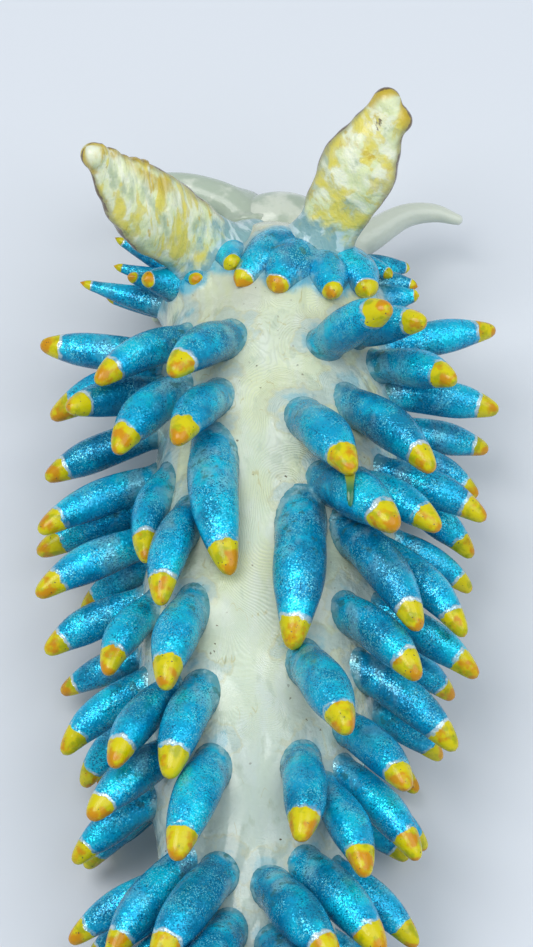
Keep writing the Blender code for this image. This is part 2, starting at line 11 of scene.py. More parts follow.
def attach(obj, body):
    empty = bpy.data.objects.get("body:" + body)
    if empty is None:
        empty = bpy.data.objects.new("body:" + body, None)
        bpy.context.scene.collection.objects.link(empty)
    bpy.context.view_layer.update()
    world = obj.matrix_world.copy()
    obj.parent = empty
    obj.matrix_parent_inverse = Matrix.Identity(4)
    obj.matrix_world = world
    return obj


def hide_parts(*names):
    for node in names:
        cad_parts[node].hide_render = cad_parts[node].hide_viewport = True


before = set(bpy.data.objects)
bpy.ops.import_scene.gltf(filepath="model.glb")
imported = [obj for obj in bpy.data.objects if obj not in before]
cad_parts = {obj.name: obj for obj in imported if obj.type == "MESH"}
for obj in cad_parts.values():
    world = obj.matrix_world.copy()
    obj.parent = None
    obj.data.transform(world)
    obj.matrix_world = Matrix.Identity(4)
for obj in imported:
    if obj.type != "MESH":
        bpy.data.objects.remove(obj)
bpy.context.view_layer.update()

MM = 0.001

# The body: one long tapering print of clear resin, oval across and washed with ivory, standing on
# the foot. Its back is bare, and there the layers of the print show as fine contour lines.
# station back from the snout, half width and height of the back, in mm
BODY_PROFILE = (
    (0, 14, 21),
    (12, 18.5, 30),
    (24, 22, 36),
    (38, 24.5, 39),
    (60, 25, 40),
    (100, 25, 40),
    (125, 23, 38),
    (150, 19, 33.5),
    (175, 14.5, 26.5),
    (200, 10, 19.5),
    (225, 6.5, 13.5),
    (245, 4, 9),
    (262, 1.8, 5),
)
BODY_LENGTH = 265 * MM
HALF_LENGTH = BODY_LENGTH / 2
TAIL_END = 259 * MM
SNOUT_ROUND = 10 * MM
SNOUT_LIFT = 4 * MM
SNOUT_WIDTH = 0.45
SNOUT_HEIGHT = 0.35
SWAY = 2.5 * MM
SWAY_WAVE = 190 * MM
TAIL_CURL = 15 * MM
CURL_FROM = 130 * MM
WAIST_AT = 0.5
FLANK_PINCH = 0.24
FLANK_ROUND = 0.9
BELLY_DROP = 1.06
FOOT_THICK = 2.4 * MM
BELLY_UNDER = 1.8 * MM
BODY_RINGS = 420
BODY_SIDES = 150
HAND_LUMPS = 0.35 * MM
LUMP_SIZE = 14 * MM
BODY_TIPS = (2.6 * MM, 1.5 * MM)
TIP_TURNS = (0.35, 0.7, 1.0, 1.3, math.pi / 2)
SAME_PLACE = 0.002 * MM


def smooth_through(rows, at):
    """Values on a smooth curve through rows of (place, value, ...), for an array of places."""
    rows = np.asarray(rows, float)
    at = np.asarray(at, float)
    last = len(rows) - 1
    k = np.clip(np.searchsorted(rows[:, 0], at, side="left") - 1, 0, last - 1)
    before, start, end, after = (rows[np.clip(k + step, 0, last)] for step in (-1, 0, 1, 2))
    span = (end - start)[..., :1]
    share = (at[..., None] - start[..., :1]) / span
    leave = (end - before)[..., 1:] / (end - before)[..., :1] * span
    arrive = (after - start)[..., 1:] / (after - start)[..., :1] * span
    square = share ** 2
    cube = share ** 3
    return (
        (2 * cube - 3 * square + 1) * start[..., 1:] + (cube - 2 * square + share) * leave
        + (3 * square - 2 * cube) * end[..., 1:] + (cube - square) * arrive
    )


def body_size(station):
    """Half width and height of the body at stations."""
    size = smooth_through(BODY_PROFILE, np.asarray(station) / MM) * MM
    return size[..., 0], size[..., 1]


def middle_x(station):
    """The body's middle line, which sways a little and curls to the left at the tail."""
    curl = np.maximum(0.0, station - CURL_FROM) / (BODY_LENGTH - CURL_FROM)
    return SWAY * np.sin(2 * math.pi * station / SWAY_WAVE) - TAIL_CURL * curl ** 2


def skin(station, angle, lowest=FOOT_THICK):
    """Points of the body's surface, at angles from the ridge of the back."""
    station, angle = np.broadcast_arrays(np.asarray(station, float), np.asarray(angle, float))
    near_snout = np.clip(station / SNOUT_ROUND, 0, 1)
    fullness = np.sqrt(1 - (1 - near_snout) ** 2)
    half_width, height = body_size(station)
    half_width = half_width * (SNOUT_WIDTH + (1 - SNOUT_WIDTH) * fullness)
    waist = height * WAIST_AT
    over = np.cos(angle)
    side = np.sin(angle)
    x = half_width * np.sign(side) * np.abs(side) ** FLANK_ROUND
    x = x * (1 - FLANK_PINCH * np.maximum(0.0, -over) ** 1.5)
    back = waist + (height - waist) * (SNOUT_HEIGHT + (1 - SNOUT_HEIGHT) * fullness) * over
    z = np.where(over >= 0, back, waist * (1 + BELLY_DROP * over))
    z = np.maximum(z, lowest + SNOUT_LIFT * (1 - fullness))
    return np.stack([middle_x(station) + x, HALF_LENGTH - station, z], axis=-1)


def unit(vectors):
    return vectors / np.maximum(np.linalg.norm(vectors, axis=-1, keepdims=True), 1e-12)


def skin_normal(station, angle):
    step = 0.5 * MM
    turn = 0.02
    back = skin(station + step, angle) - skin(station - step, angle)
    around = skin(station, angle + turn) - skin(station, angle - turn)
    return unit(np.cross(back, around))


def rolled(rings, paint=None, bm=None):
    """A closed tube in a bmesh: a sheet rolled round through rings of points, with paint values."""
    bm = bm or bmesh.new()
    count, sides = rings.shape[:2]
    layers = [(bm.verts.layers.float.get(key) or bm.verts.layers.float.new(key), values)
              for key, values in (paint or {}).items()]
    verts = bmesh.ops.create_grid(bm, x_segments=count - 1, y_segments=sides, size=0.5)["verts"]
    for vert in verts:
        row = round((vert.co.x + 0.5) * (count - 1))
        column = round((vert.co.y + 0.5) * sides) % sides
        vert.co = rings[row, column]
        for layer, values in layers:
            vert[layer] = values[row, column]
    bmesh.ops.remove_doubles(bm, verts=verts, dist=SAME_PLACE)
    return bm


def rounded_ends(rings, front, back):
    """Rings with both ends drawn in to a point, bulging out by the given amounts."""
    def cap(ring, beside, bulge):
        centre = ring.mean(axis=0)
        out = unit(centre - beside.mean(axis=0))
        return [centre + (ring - centre) * math.cos(turn) + out * bulge * math.sin(turn)
                for turn in TIP_TURNS]

    head = cap(rings[0], rings[1], front)[::-1]
    tail = cap(rings[-1], rings[-2], back)
    return np.concatenate([np.array(head), rings, np.array(tail)])


def lumpy(points, size, amount):
    """Small soft unevenness, as a hand-sculpted model has."""
    flat = points.reshape(-1, 3)
    draw = [noise.noise(Vector(point) / size) for point in flat]
    return np.array(draw).reshape(points.shape[:-1] + (1,)) * amount


def add_piece(name, bm, finish):
    bmesh.ops.recalc_face_normals(bm, faces=bm.faces[:])
    mesh = bpy.data.meshes.new(name)
    bm.to_mesh(mesh)
    bm.free()
    mesh.shade_smooth()
    mesh.materials.append(finish)
    piece = bpy.data.objects.new(name, mesh)
    bpy.context.scene.collection.objects.link(piece)
    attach(piece, "root")
    return piece


def put(tree, kind, inputs=None, **settings):
    """A shader node with its settings, and its sockets set or linked."""
    node = tree.nodes.new("ShaderNode" + kind)
    for key, value in settings.items():
        setattr(node, key, value)
    for key, value in (inputs or {}).items():
        if isinstance(value, bpy.types.NodeSocket):
            tree.links.new(value, node.inputs[key])
        else:
            node.inputs[key].default_value = value
    return node


def mixed(tree, share, first, second):
    return put(tree, "Mix", {0: share, 6: first, 7: second}, data_type="RGBA").outputs[2]


def sum_of(tree, operation, first, second):
    return put(tree, "Math", {0: first, 1: second}, operation=operation).outputs[0]


def part_of(tree, mask, share):
    """A mask made weaker, by a share or by another mask."""
    return sum_of(tree, "MULTIPLY", mask, share)


def washed(tree, shade, colour, mask, share):
    """A shade with a colour over it, where a mask and a share let it."""
    return mixed(tree, part_of(tree, mask, share), shade, colour)


def upward(tree):
    """How far the surface faces up, from one on top to nought at the sides."""
    return put(tree, "SeparateXYZ", {0: put(tree, "NewGeometry").outputs["Normal"]}).outputs[2]


def rising(tree, value, low, high):
    """Nought below low and one above high, with a soft step between."""
    inputs = {"Value": value, "From Min": low, "From Max": high}
    return put(tree, "MapRange", inputs, interpolation_type="SMOOTHSTEP").outputs[0]


def placed(tree, offset=0.0, stretch=(1, 1, 1)):
    """The place on the object, moved and stretched."""
    place = tree.nodes.get("place") or put(tree, "TexCoord", name="place")
    inputs = {"Vector": place.outputs["Object"], "Location": (offset,) * 3, "Scale": stretch}
    return put(tree, "Mapping", inputs).outputs[0]


def place_along(tree, axis):
    return put(tree, "SeparateXYZ", {0: placed(tree)}).outputs[axis]


def off_from(tree, value, middle):
    """How far a value lies from a middle, either way."""
    return sum_of(tree, "ABSOLUTE", sum_of(tree, "SUBTRACT", value, middle), 0.0)


def cloud(tree, size, detail=3.0, stretch=(1, 1, 1), offset=0.0):
    """Soft noise whose blotches are about as wide as size."""
    inputs = {"Vector": placed(tree, offset, stretch), "Scale": 1 / size, "Detail": detail}
    return put(tree, "TexNoise", inputs).outputs["Fac"]


def blotches(tree, low, high, *shape, **moved):
    """A mask of blotches: where the cloud of that shape is above high, and softly from low."""
    return rising(tree, cloud(tree, *shape, **moved), low, high)


def grains(tree, size, offset=0.0):
    """A random value for each small cell about as wide as size."""
    cells = put(tree, "TexVoronoi", {"Vector": placed(tree, offset), "Scale": 1 / size})
    return put(tree, "SeparateColor", {0: cells.outputs["Color"]}).outputs[0]


def painted(tree, name):
    """A paint value kept on the piece's points."""
    return put(tree, "Attribute", attribute_name=name).outputs["Fac"]


def new_finish(name, roughness, coat, subsurface, radius, scale):
    made = bpy.data.materials.new(name)
    made.use_nodes = True
    shader = made.node_tree.nodes["Principled BSDF"]
    shader.inputs["Roughness"].default_value = roughness
    shader.inputs["Specular IOR Level"].default_value = 0.35
    shader.inputs["Coat Weight"].default_value = coat
    shader.inputs["Coat Roughness"].default_value = 0.08
    shader.inputs["Subsurface Weight"].default_value = subsurface
    shader.inputs["Subsurface Radius"].default_value = radius
    shader.inputs["Subsurface Scale"].default_value = scale
    return made, made.node_tree, shader


IVORY = (0.69, 0.75, 0.50, 1)
PALE_GREEN = (0.64, 0.72, 0.55, 1)
MILKY = (0.70, 0.76, 0.64, 1)
TAIL_GREEN = (0.60, 0.71, 0.67, 1)
BARE_GREY = (0.46, 0.54, 0.44, 1)
SEAM_OLIVE = (0.26, 0.25, 0.08, 1)
SMUDGE = (0.46, 0.55, 0.42, 1)
SCRATCH_BROWN = (0.50, 0.44, 0.16, 1)
WEB_CLEAR = (0.50, 0.63, 0.60, 1)
WEB_EDGE = (0.56, 0.56, 0.34, 1)
RUN_BLUE = (0.20, 0.50, 0.60, 1)
COLLAR_BLUE = (0.02, 0.40, 0.62, 1)
COLLAR_PALE = (0.22, 0.60, 0.72, 1)
SPECK_BROWN = (0.12, 0.09, 0.04, 1)
LINE_SHADE = (0.56, 0.62, 0.50, 1)
LAYER_PITCH = 0.05 * MM
SNOUT_EDGE = HALF_LENGTH - 7 * MM


def body_finish():
    """Clear resin under thin ivory paint and varnish, with the print's contour lines."""
    made, tree, shader = new_finish("ivory resin", 0.34, 0.25, 0.3, (1.0, 0.95, 0.8), 3 * MM)
    shade = mixed(tree, blotches(tree, 0.35, 0.65, 14 * MM), IVORY, PALE_GREEN)
    shade = mixed(tree, blotches(tree, 0.45, 0.7, 4 * MM, 5, (1, 0.35, 1), 3.0), shade, MILKY)
    back = place_along(tree, 1)
    shade = mixed(tree, rising(tree, back, 40 * MM, -20 * MM), shade, mixed(tree, 0.7, shade, TAIL_GREEN))
    smudge = blotches(tree, 0.60, 0.68, 3.5 * MM, 5, (1.3, 0.6, 1), 14.0)
    shade = washed(tree, shade, SMUDGE, smudge, 0.45)
    scratch = off_from(tree, cloud(tree, 5 * MM, 2, (1.4, 0.5, 1), 21.0), 0.5)
    scratch = part_of(tree, rising(tree, scratch, 0.012, 0.004),
                     blotches(tree, 0.54, 0.62, 6 * MM, 3, offset=23.0))
    shade = washed(tree, shade, SCRATCH_BROWN, scratch, 0.5)
    tint = part_of(tree, painted(tree, "tint"), cloud(tree, 6 * MM, 5, offset=8.0))
    shade = washed(tree, shade, WEB_EDGE, rising(tree, tint, 0.29, 0.33), 0.5)
    shade = washed(tree, shade, WEB_CLEAR, rising(tree, tint, 0.32, 0.38), 0.7)
    shade = washed(tree, shade, RUN_BLUE, rising(tree, tint, 0.44, 0.54), 0.6)
    ragged = part_of(tree, cloud(tree, 3 * MM, 5, offset=27.0), 0.3)
    band = sum_of(tree, "ADD", painted(tree, "collar"), ragged)
    wet = mixed(tree, blotches(tree, 0.42, 0.60, 3 * MM, 4, offset=29.0), COLLAR_BLUE, COLLAR_PALE)
    shade = washed(tree, shade, wet, rising(tree, band, 0.62, 0.86), 0.9)
    snout = sum_of(tree, "ADD", back, part_of(tree, cloud(tree, 5 * MM, 3, offset=35.0), 4 * MM))
    shade = mixed(tree, rising(tree, snout, SNOUT_EDGE - 0.5 * MM, SNOUT_EDGE), shade, BARE_GREY)
    seam = off_from(tree, snout, SNOUT_EDGE)
    shade = washed(tree, shade, SEAM_OLIVE, rising(tree, seam, 0.9 * MM, 0.3 * MM), 0.45)
    specks = part_of(tree, rising(tree, grains(tree, 0.4 * MM), 0.990, 0.996),
                    blotches(tree, 0.50, 0.62, 9 * MM, offset=5.0))
    shade = mixed(tree, specks, shade, SPECK_BROWN)
    warp = part_of(tree, cloud(tree, 26 * MM, 0, offset=2.0), 1.6 * MM)
    phase = part_of(tree, sum_of(tree, "ADD", place_along(tree, 2), warp), 2 * math.pi / LAYER_PITCH)
    lines = sum_of(tree, "SINE", phase, 0.0)
    lines = part_of(tree, lines, rising(tree, upward(tree), 0.70, 0.95))
    worn = blotches(tree, 0.36, 0.60, 10 * MM, 3, offset=17.0)
    seen = part_of(tree, rising(tree, lines, 0.2, 1.0), part_of(tree, worn, 0.6))
    shade = mixed(tree, seen, shade, LINE_SHADE)
    tree.links.new(shade, shader.inputs["Base Color"])
    relief = put(tree, "Bump", {"Height": lines, "Strength": 0.6, "Distance": 0.06 * MM})
    near_root = rising(tree, painted(tree, "tint"), 0.2, 0.7)
    folds = part_of(tree, cloud(tree, 3 * MM, 5, offset=33.0), near_root)
    crumple = sum_of(tree, "ADD", part_of(tree, cloud(tree, 1.0 * MM, 4), 0.5), part_of(tree, folds, 4.5))
    glossy = rising(tree, painted(tree, "tint"), 0.2, 0.6)
    tree.links.new(sum_of(tree, "SUBTRACT", 0.34, part_of(tree, glossy, 0.2)), shader.inputs["Roughness"])
    tree.links.new(sum_of(tree, "ADD", 0.25, part_of(tree, glossy, 0.6)), shader.inputs["Coat Weight"])
    pits = put(tree, "Bump", {"Height": crumple, "Strength": 0.6, "Distance": 0.5 * MM,
                              "Normal": relief.outputs[0]})
    tree.links.new(pits.outputs[0], shader.inputs["Normal"])
    return made


stations = np.linspace(0, TAIL_END, BODY_RINGS)
around = np.linspace(0, 2 * math.pi, BODY_SIDES, endpoint=False)
body_rings = skin(stations[:, None], around[None, :], BELLY_UNDER)
outward = skin_normal(stations[:, None], around[None, :])
body_rings = body_rings + outward * lumpy(body_rings, LUMP_SIZE, HAND_LUMPS)
body_rings = rounded_ends(body_rings, *BODY_TIPS)
resin = body_finish()

# The foot: a thin leaf of the same resin, flat below and rounded along its edge. It is printed
# with the body and drawn out into a short pointed corner on each side of the head.
FOOT_ENDS = (3 * MM, 264.5 * MM)
FOOT_ROUNDS = (12 * MM, 9 * MM)
FOOT_END_WIDTH = 0.2
FOOT_SHARE = 0.74
FOOT_LIP = 1.2 * MM
FOOT_EDGE_ROUND = 0.6
FOOT_FLATS = 1.4
FOOT_RINGS = 200
FOOT_SIDES = 40
FOOT_CORNER = ((7, -13, 1.2, 1.0), (13, -11, 1.4, 1.2), (19, -11.5, 1.7, 1.3), (24.5, -15.5, 1.5, 0.8))
HORN_SIDES = 40
HORN_RINGS = 60
EDGE_RIPPLE = 0.25 * MM
EDGE_WAVE = 3.7 * MM
FOOT_TIPS = (0.2 * MM, 0.2 * MM)
CORNER_TIPS = (0.5 * MM, 0.8 * MM)


def horn_line(places, shares, side=1):
    """Points and half widths along a smooth line through places across, ahead and up, in mm."""
    rows = [(k / (len(places) - 1), side * x, ahead, z, half) for k, (x, ahead, z, half) in enumerate(places)]
    values = smooth_through(rows, shares) * MM
    return values[:, :3] + (0, HALF_LENGTH, 0), values[:, 3]


def tube(points, radii, sides, flatten=1.0):
    """Rings of points round a line."""
    along = unit(np.gradient(points, axis=0))
    across = unit(np.cross(along, (0, 0, 1)))
    up = np.cross(across, along)
    turns = np.linspace(0, 2 * math.pi, sides, endpoint=False)
    ring = across[:, None] * np.cos(turns)[None, :, None]
    ring = ring + up[:, None] * np.sin(turns)[None, :, None] * flatten
    return points[:, None] + ring * radii[:, None, None]


foot_stations = sum(FOOT_ENDS) / 2 - np.cos(np.linspace(0, math.pi, FOOT_RINGS)) * np.ptp(FOOT_ENDS) / 2
turns = np.linspace(0, 2 * math.pi, FOOT_SIDES, endpoint=False)
front = np.minimum(1, (foot_stations - FOOT_ENDS[0]) / FOOT_ROUNDS[0])
back = np.clip((FOOT_ENDS[1] - foot_stations) / FOOT_ROUNDS[1], 0, 1)
fullness = np.sqrt(np.clip(1 - (1 - front) ** 2, 0, 1)) * np.sqrt(back)
foot_width = body_size(np.minimum(foot_stations, TAIL_END))[0] * FOOT_SHARE + FOOT_LIP
foot_width = foot_width * (FOOT_END_WIDTH + (1 - FOOT_END_WIDTH) * fullness)
foot_width = foot_width + EDGE_RIPPLE * np.sin(foot_stations / EDGE_WAVE) * fullness
across = np.sign(np.cos(turns)) * np.abs(np.cos(turns)) ** FOOT_EDGE_ROUND
foot_x = middle_x(foot_stations)[:, None] + foot_width[:, None] * across
foot_y = np.broadcast_to((HALF_LENGTH - foot_stations)[:, None], foot_x.shape)
foot_z = np.clip(FOOT_THICK / 2 * (1 + FOOT_FLATS * np.sin(turns)), 0, FOOT_THICK)
foot_z = np.broadcast_to(foot_z, foot_x.shape)
foot = rolled(rounded_ends(np.stack([foot_x, foot_y, foot_z], axis=-1), *FOOT_TIPS))
for side in (-1, 1):
    points, radii = horn_line(FOOT_CORNER, np.linspace(0, 1, HORN_RINGS), side)
    rolled(rounded_ends(tube(points, radii, HORN_SIDES), *CORNER_TIPS), bm=foot)
foot_piece = add_piece("foot_leaf", foot, resin)
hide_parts("foot", "foot_corner_left", "foot_corner_right")

# The cerata: hollow fingers in life, here solid tapering prints set in clusters along both flanks.
# Each flares into the skin at its root, is painted glittering blue, ringed with white and capped
# with yellow that blushes orange at the tip.
# root's station and angle around, splay from straight back, rise, length in mm, own half width
LEFT_CERATA = (
    (40, 20, 34, 29, 26), (37, 50, 46, 18, 27), (40, 78, 64, -8, 27), (37, 88, 99, -2, 27),
    (54, 28, 21, 30, 26), (49, 52, 29, 21, 29), (46, 80, 54, 33, 28), (53, 92, 66, -8, 27),
    (64, 32, -3, 2, 38, 5), (68, 66, 4, 18, 28), (66, 84, 58, 4, 29), (68, 100, 66, -10, 29),
    (80, 42, 6, 14, 29), (82, 74, 56, 4, 29), (79, 92, 66, -10, 22), (80, 108, 64, -30, 22),
    (102, 34, 11, 19, 28), (98, 66, 22, 15, 24), (95, 84, 60, -8, 24), (104, 102, 68, -28, 21),
    (121, 26, 15, 13, 27), (120, 46, 23, 21, 28), (115, 70, 46, -10, 24), (120, 90, 46, -38, 21),
    (137, 20, 13, 15, 30), (133, 48, 40, 10, 25), (140, 72, 50, -14, 22), (138, 92, 50, -36, 21),
    (159, 18, 25, 18, 30), (155, 44, 30, 8, 30), (157, 72, 56, -12, 24), (160, 94, 58, -34, 21),
)
RIGHT_CERATA = (
    (44, 18, 76, 54, 25), (39, 34, 68, 38, 22), (38, 66, 104, -8, 25), (44, 54, 50, 34, 25),
    (49, 66, 80, -5, 24), (60, 9, 24, 28, 29), (55, 32, 36, 17, 31), (60, 78, 62, -18, 21),
    (54, 88, 84, -18, 21), (75, 21, 33, 20, 28), (69, 54, 62, -6, 26), (74, 40, 48, 10, 23),
    (70, 76, 52, -22, 23), (81, 13, -4, 4, 37, 5.9), (84, 34, 25, 12, 34), (86, 56, 36, 6, 31),
    (81, 82, 62, -26, 21), (103, 38, 36, 15, 27), (100, 60, 54, -10, 27), (106, 80, 60, -30, 20),
    (116, 20, 18, 30, 31), (114, 52, 47, -10, 28), (127, 50, 30, 22, 26), (120, 76, 60, -32, 20),
    (136, 26, -2, 22, 27), (136, 54, 32, 8, 28), (141, 42, 16, 20, 28), (139, 78, 60, -34, 20),
    (162, 8, 31, 23, 29), (157, 32, 32, 13, 29), (156, 60, 46, -12, 24),
)
COLLAR_CERATA = (
    (24, -84, 105, 5, 21, 2.6), (22, -90, 104, 4, 18, 2.6), (22, -98, 104, -2, 16, 2.4),
    (18, -80, 104, 8, 15, 2.4), (15, -78, 115, 13, 17, 2.3), (16, -92, 107, 2, 13, 2.2),
    (20, -76, 84, 32, 13, 3), (22, -62, 70, 50, 13, 4), (23, -48, 0, 61, 7, 3.8),
    (18, -26, 2, 50, 10, 4.6), (16, 6, -36, 20, 18.5, 6.2), (20, 12, -22, 26, 15.5, 6),
    (22, 26, 8, 30, 15, 5.4), (18, 44, 24, 28, 16, 5.8), (13, 66, 51, 22, 12, 3.2),
    (13, 78, 106, -22, 13, 3), (17, 78, 78, 6, 12, 3), (23, 78, 94, 4, 10, 3.2),
    (26, 104, 80, -16, 12, 2.6), (12, 96, 100, -10, 11, 2.4), (12, -100, 100, -8, 11, 2.4),
)
LOW_STATIONS = (58, 72, 104, 120, 135, 163)
LOW_AROUND, LOW_SPLAY, LOW_RISE, LOW_LENGTH = 116, 50, -16, 18
TAIL_STATIONS = (172, 185, 196, 214, 225, 236)
TAIL_COUNTS = (4, 3, 3, 3, 2, 2)
TAIL_LENGTHS = (30, 10.5)
TAIL_AROUND = (14, 96)
TAIL_SPLAY = (20, 44)
TAIL_RISE = (26, -4)
TAIL_STAGGER = 3
TAIL_SHORTER = 0.2
LENGTH_ENDS = np.array((33.2, 148.6, 206)) * MM
INNER_GIRTH, OUTER_GIRTH = 4.9 * MM, 4.0 * MM
INNER_AROUND, OUTER_AROUND = 20, 60
FULL_LENGTH = 28 * MM
LEAST_GIRTH = 0.35
GIRTH_VARIES = 0.06
CERAS_BOW = 0.16
CERAS_SINK = 3 * MM
# share of the length, and share of the girth there
SETTLE_SHAPE = ((0, 0.7), (0.2, 0.9), (0.42, 1), (0.6, 0.92), (0.745, 0.7), (0.9, 0.48), (1, 0))
MOUND_SHAPE = ((0, 1.15), (0.2, 1.1), (0.42, 0.9), (0.6, 0.69), (0.745, 0.51), (0.9, 0.34), (1, 0))
CERAS_SHAPE = (
    (0, 0.7), (0.12, 0.82), (0.28, 0.95), (0.42, 1), (0.54, 0.97), (0.65, 0.87), (0.745, 0.73),
    (0.83, 0.61), (0.9, 0.49), (0.95, 0.37), (0.982, 0.23), (1, 0),
)
CERAS_CLEAR = 0.5 * MM
FLOOR_CLEAR = 2 * MM
SETTLE_ROUNDS = 160
SETTLE_STEP = 0.3
SPRING = 0.06
SPRING_ROUNDS = 110
SETTLE_SHARES = np.array((0.12, 0.26, 0.4, 0.54, 0.66, 0.78, 0.89, 0.98))
ROOT_SHARE = 0.3
BED_SHARE = 0.7
BED_SINK = 0.5
SMALL = 1e-9
FLARE = 0.9 * MM
FLARE_HEIGHT = 3 * MM
CERAS_SIDES = 26
# rings along a ceras, closer together towards its root and its tip
CERAS_RINGS = np.concatenate([
    np.linspace(0, 0.3, 10)[:-1], np.linspace(0.3, 0.9, 14)[:-1], 1 - 0.1 * np.linspace(1, 0, 9) ** 1.8,
])
# how far one ceras is off round, and off its even swelling along it
OFF_ROUND = (0.03, 0.02)
OFF_EVEN = 0.03
RHINOPHORES = {"left": (17, -33, (-26.5, 5.5, 32)), "right": (17, 24, (16.8, 21, 27.5))}
RHINOPHORE_SHAPE = {
    "left": (
        (-0.15, 6.8), (0.1, 7.4), (0.25, 8.1), (0.42, 8.6), (0.56, 8.3),
        (0.68, 7), (0.79, 5.3), (0.88, 3.6), (0.95, 2.8), (1, 2.2),
    ),
    "right": (
        (-0.15, 5.6), (0.1, 6.3), (0.25, 7), (0.4, 7.7), (0.52, 8.4),
        (0.65, 7.6), (0.77, 5.9), (0.87, 4.8), (0.95, 3.7), (1, 2.4),
    ),
}
BROAD_FACE = np.array((0, -0.48, 0.88))
RHINOPHORE_BOW = {"left": -1.5, "right": 0.0}
RHINOPHORE_JOIN = 0.3
HORN_BALLS = 10
ORAL_TENTACLES = {
    "left": (
        (-1, -5, 15, 5), (-7, 3.2, 16, 4.8), (-14.5, 6.8, 17, 4.3),
        (-22, 8.6, 17, 3.5), (-29, 8.8, 16, 2.5), (-34.5, 7.5, 15, 1.4),
    ),
    "right": (
        (8, -12, 15, 4.3), (14.5, -7.5, 15, 4.2), (22, -3, 15, 3.6),
        (30, 2.4, 15, 2.7), (36.5, 3.7, 14.5, 2.1), (42, 2.3, 14, 1.2),
    ),
}


def ceras_rows():
    """Root, direction and length of every ceras, from the neck to the tail."""
    draw = random.Random(8)
    rows = [(station, -around, *rest) for station, around, *rest in LEFT_CERATA]
    rows += RIGHT_CERATA
    rows += COLLAR_CERATA
    for side in (-1, 1):
        for station in LOW_STATIONS:
            rows.append((station + side, side * LOW_AROUND, LOW_SPLAY, LOW_RISE, LOW_LENGTH))
        last = len(TAIL_STATIONS) - 1
        for k, (station, count) in enumerate(zip(TAIL_STATIONS, TAIL_COUNTS)):
            length = TAIL_LENGTHS[0] + (TAIL_LENGTHS[1] - TAIL_LENGTHS[0]) * k / last
            for out in np.linspace(0, 1, count):
                ranges = (TAIL_AROUND, TAIL_SPLAY, TAIL_RISE)
                around, splay, rise = (inner + (outer - inner) * out for inner, outer in ranges)
                place = station + TAIL_STAGGER * side / 2 + draw.uniform(-1, 1)
                rows.append((place, side * around, splay, rise, length * (1 - TAIL_SHORTER * out)))
    varies = np.array([draw.uniform(-GIRTH_VARIES, GIRTH_VARIES) for _ in rows])
    return np.array([(*row, 0.0)[:6] for row in rows], float), varies


def ceras_lines(roots, normals, headings, lengths, shares):
    """Points along the middle lines of many cerata, which leave the skin and bend to their tips."""
    t = np.asarray(shares)[None, :, None]
    start = (roots - normals * CERAS_SINK)[:, None]
    reach = lengths[:, None, None]
    knee = roots[:, None] + (headings[:, None] * 0.5 + normals[:, None] * CERAS_BOW) * reach
    end = roots[:, None] + headings[:, None] * reach
    return (1 - t) ** 2 * start + 2 * t * (1 - t) * knee + t ** 2 * end


def above_skin(points):
    """How far points lie outside the body, and which way out is."""
    station = np.clip(HALF_LENGTH - points[..., 1], 0.0, TAIL_END)
    half_width, height = body_size(station)
    centre = np.stack([middle_x(station), points[..., 1], height * WAIST_AT], axis=-1)
    out = points - centre
    angle = np.arctan2(out[..., 0] / half_width, out[..., 2] / (height * WAIST_AT))
    wall = (skin(station, angle, FOOT_THICK + 0.3 * MM) - centre)[..., ::2]
    return np.linalg.norm(out, axis=-1) - np.linalg.norm(wall, axis=-1), unit(out)


def length_at(y):
    return np.searchsorted(LENGTH_ENDS, np.clip(HALF_LENGTH - y, 0, TAIL_END), side="right")


def settled(roots, normals, headings, lengths, girths, mounds, home, horns):
    """Headings bent until the cerata are clear of the body, the floor, the horns and each other."""
    shapes = [smooth_through(shape, SETTLE_SHARES)[:, 0] for shape in (SETTLE_SHAPE, MOUND_SHAPE)]
    radii = (girths[:, None] * np.where(mounds[:, None], shapes[1], shapes[0])).ravel()
    owner = np.repeat(np.arange(len(roots)), len(SETTLE_SHARES))
    near_root = np.tile(SETTLE_SHARES < ROOT_SHARE, len(roots))
    bedded = np.tile(SETTLE_SHARES < BED_SHARE, len(roots))
    own = owner[:, None] == owner[None, :]
    kin = home[owner][:, None] == home[owner][None, :]
    mound = mounds[owner]
    skipped = own | (mound[:, None] & mound[None, :]) | (kin & near_root[:, None] & near_root[None, :])
    wanted = headings
    for turned in range(SETTLE_ROUNDS):
        points = ceras_lines(roots, normals, headings, lengths, SETTLE_SHARES).reshape(-1, 3)
        apart = points[:, None] - points[None, :]
        distance = np.linalg.norm(apart, axis=2) + SMALL
        lack = radii[:, None] + radii[None, :] + CERAS_CLEAR - distance
        lack = np.where(skipped | (lack < 0), 0.0, lack)
        push = (apart / distance[..., None] * lack[..., None]).sum(axis=1) / 2
        apart = points[:, None] - horns[None, :, :3]
        distance = np.linalg.norm(apart, axis=2)
        lack = np.maximum(0.0, radii[:, None] + horns[None, :, 3] + CERAS_CLEAR - distance)
        push += (apart / distance[..., None] * lack[..., None]).sum(axis=1)
        at_home = (length_at(points[:, 1] + radii) == home[owner])
        at_home &= length_at(points[:, 1] - radii) == home[owner]
        height, out = above_skin(points)
        room = np.where(at_home, radii * np.where(bedded, BED_SINK, 1.0), radii + CERAS_CLEAR)
        lift = np.where((near_root | mound) & at_home, 0.0, np.maximum(0.0, room - height))
        push += out * lift[:, None]
        push[:, 2] += np.maximum(0.0, FLOOR_CLEAR + radii - points[:, 2])
        turn = (push.reshape(len(roots), -1, 3) * SETTLE_SHARES[None, :, None]).sum(axis=1)
        spring = SPRING * max(0.0, 1 - turned / SPRING_ROUNDS)
        headings = unit(headings + SETTLE_STEP * turn / lengths[:, None] + spring * (wanted - headings))
    return headings


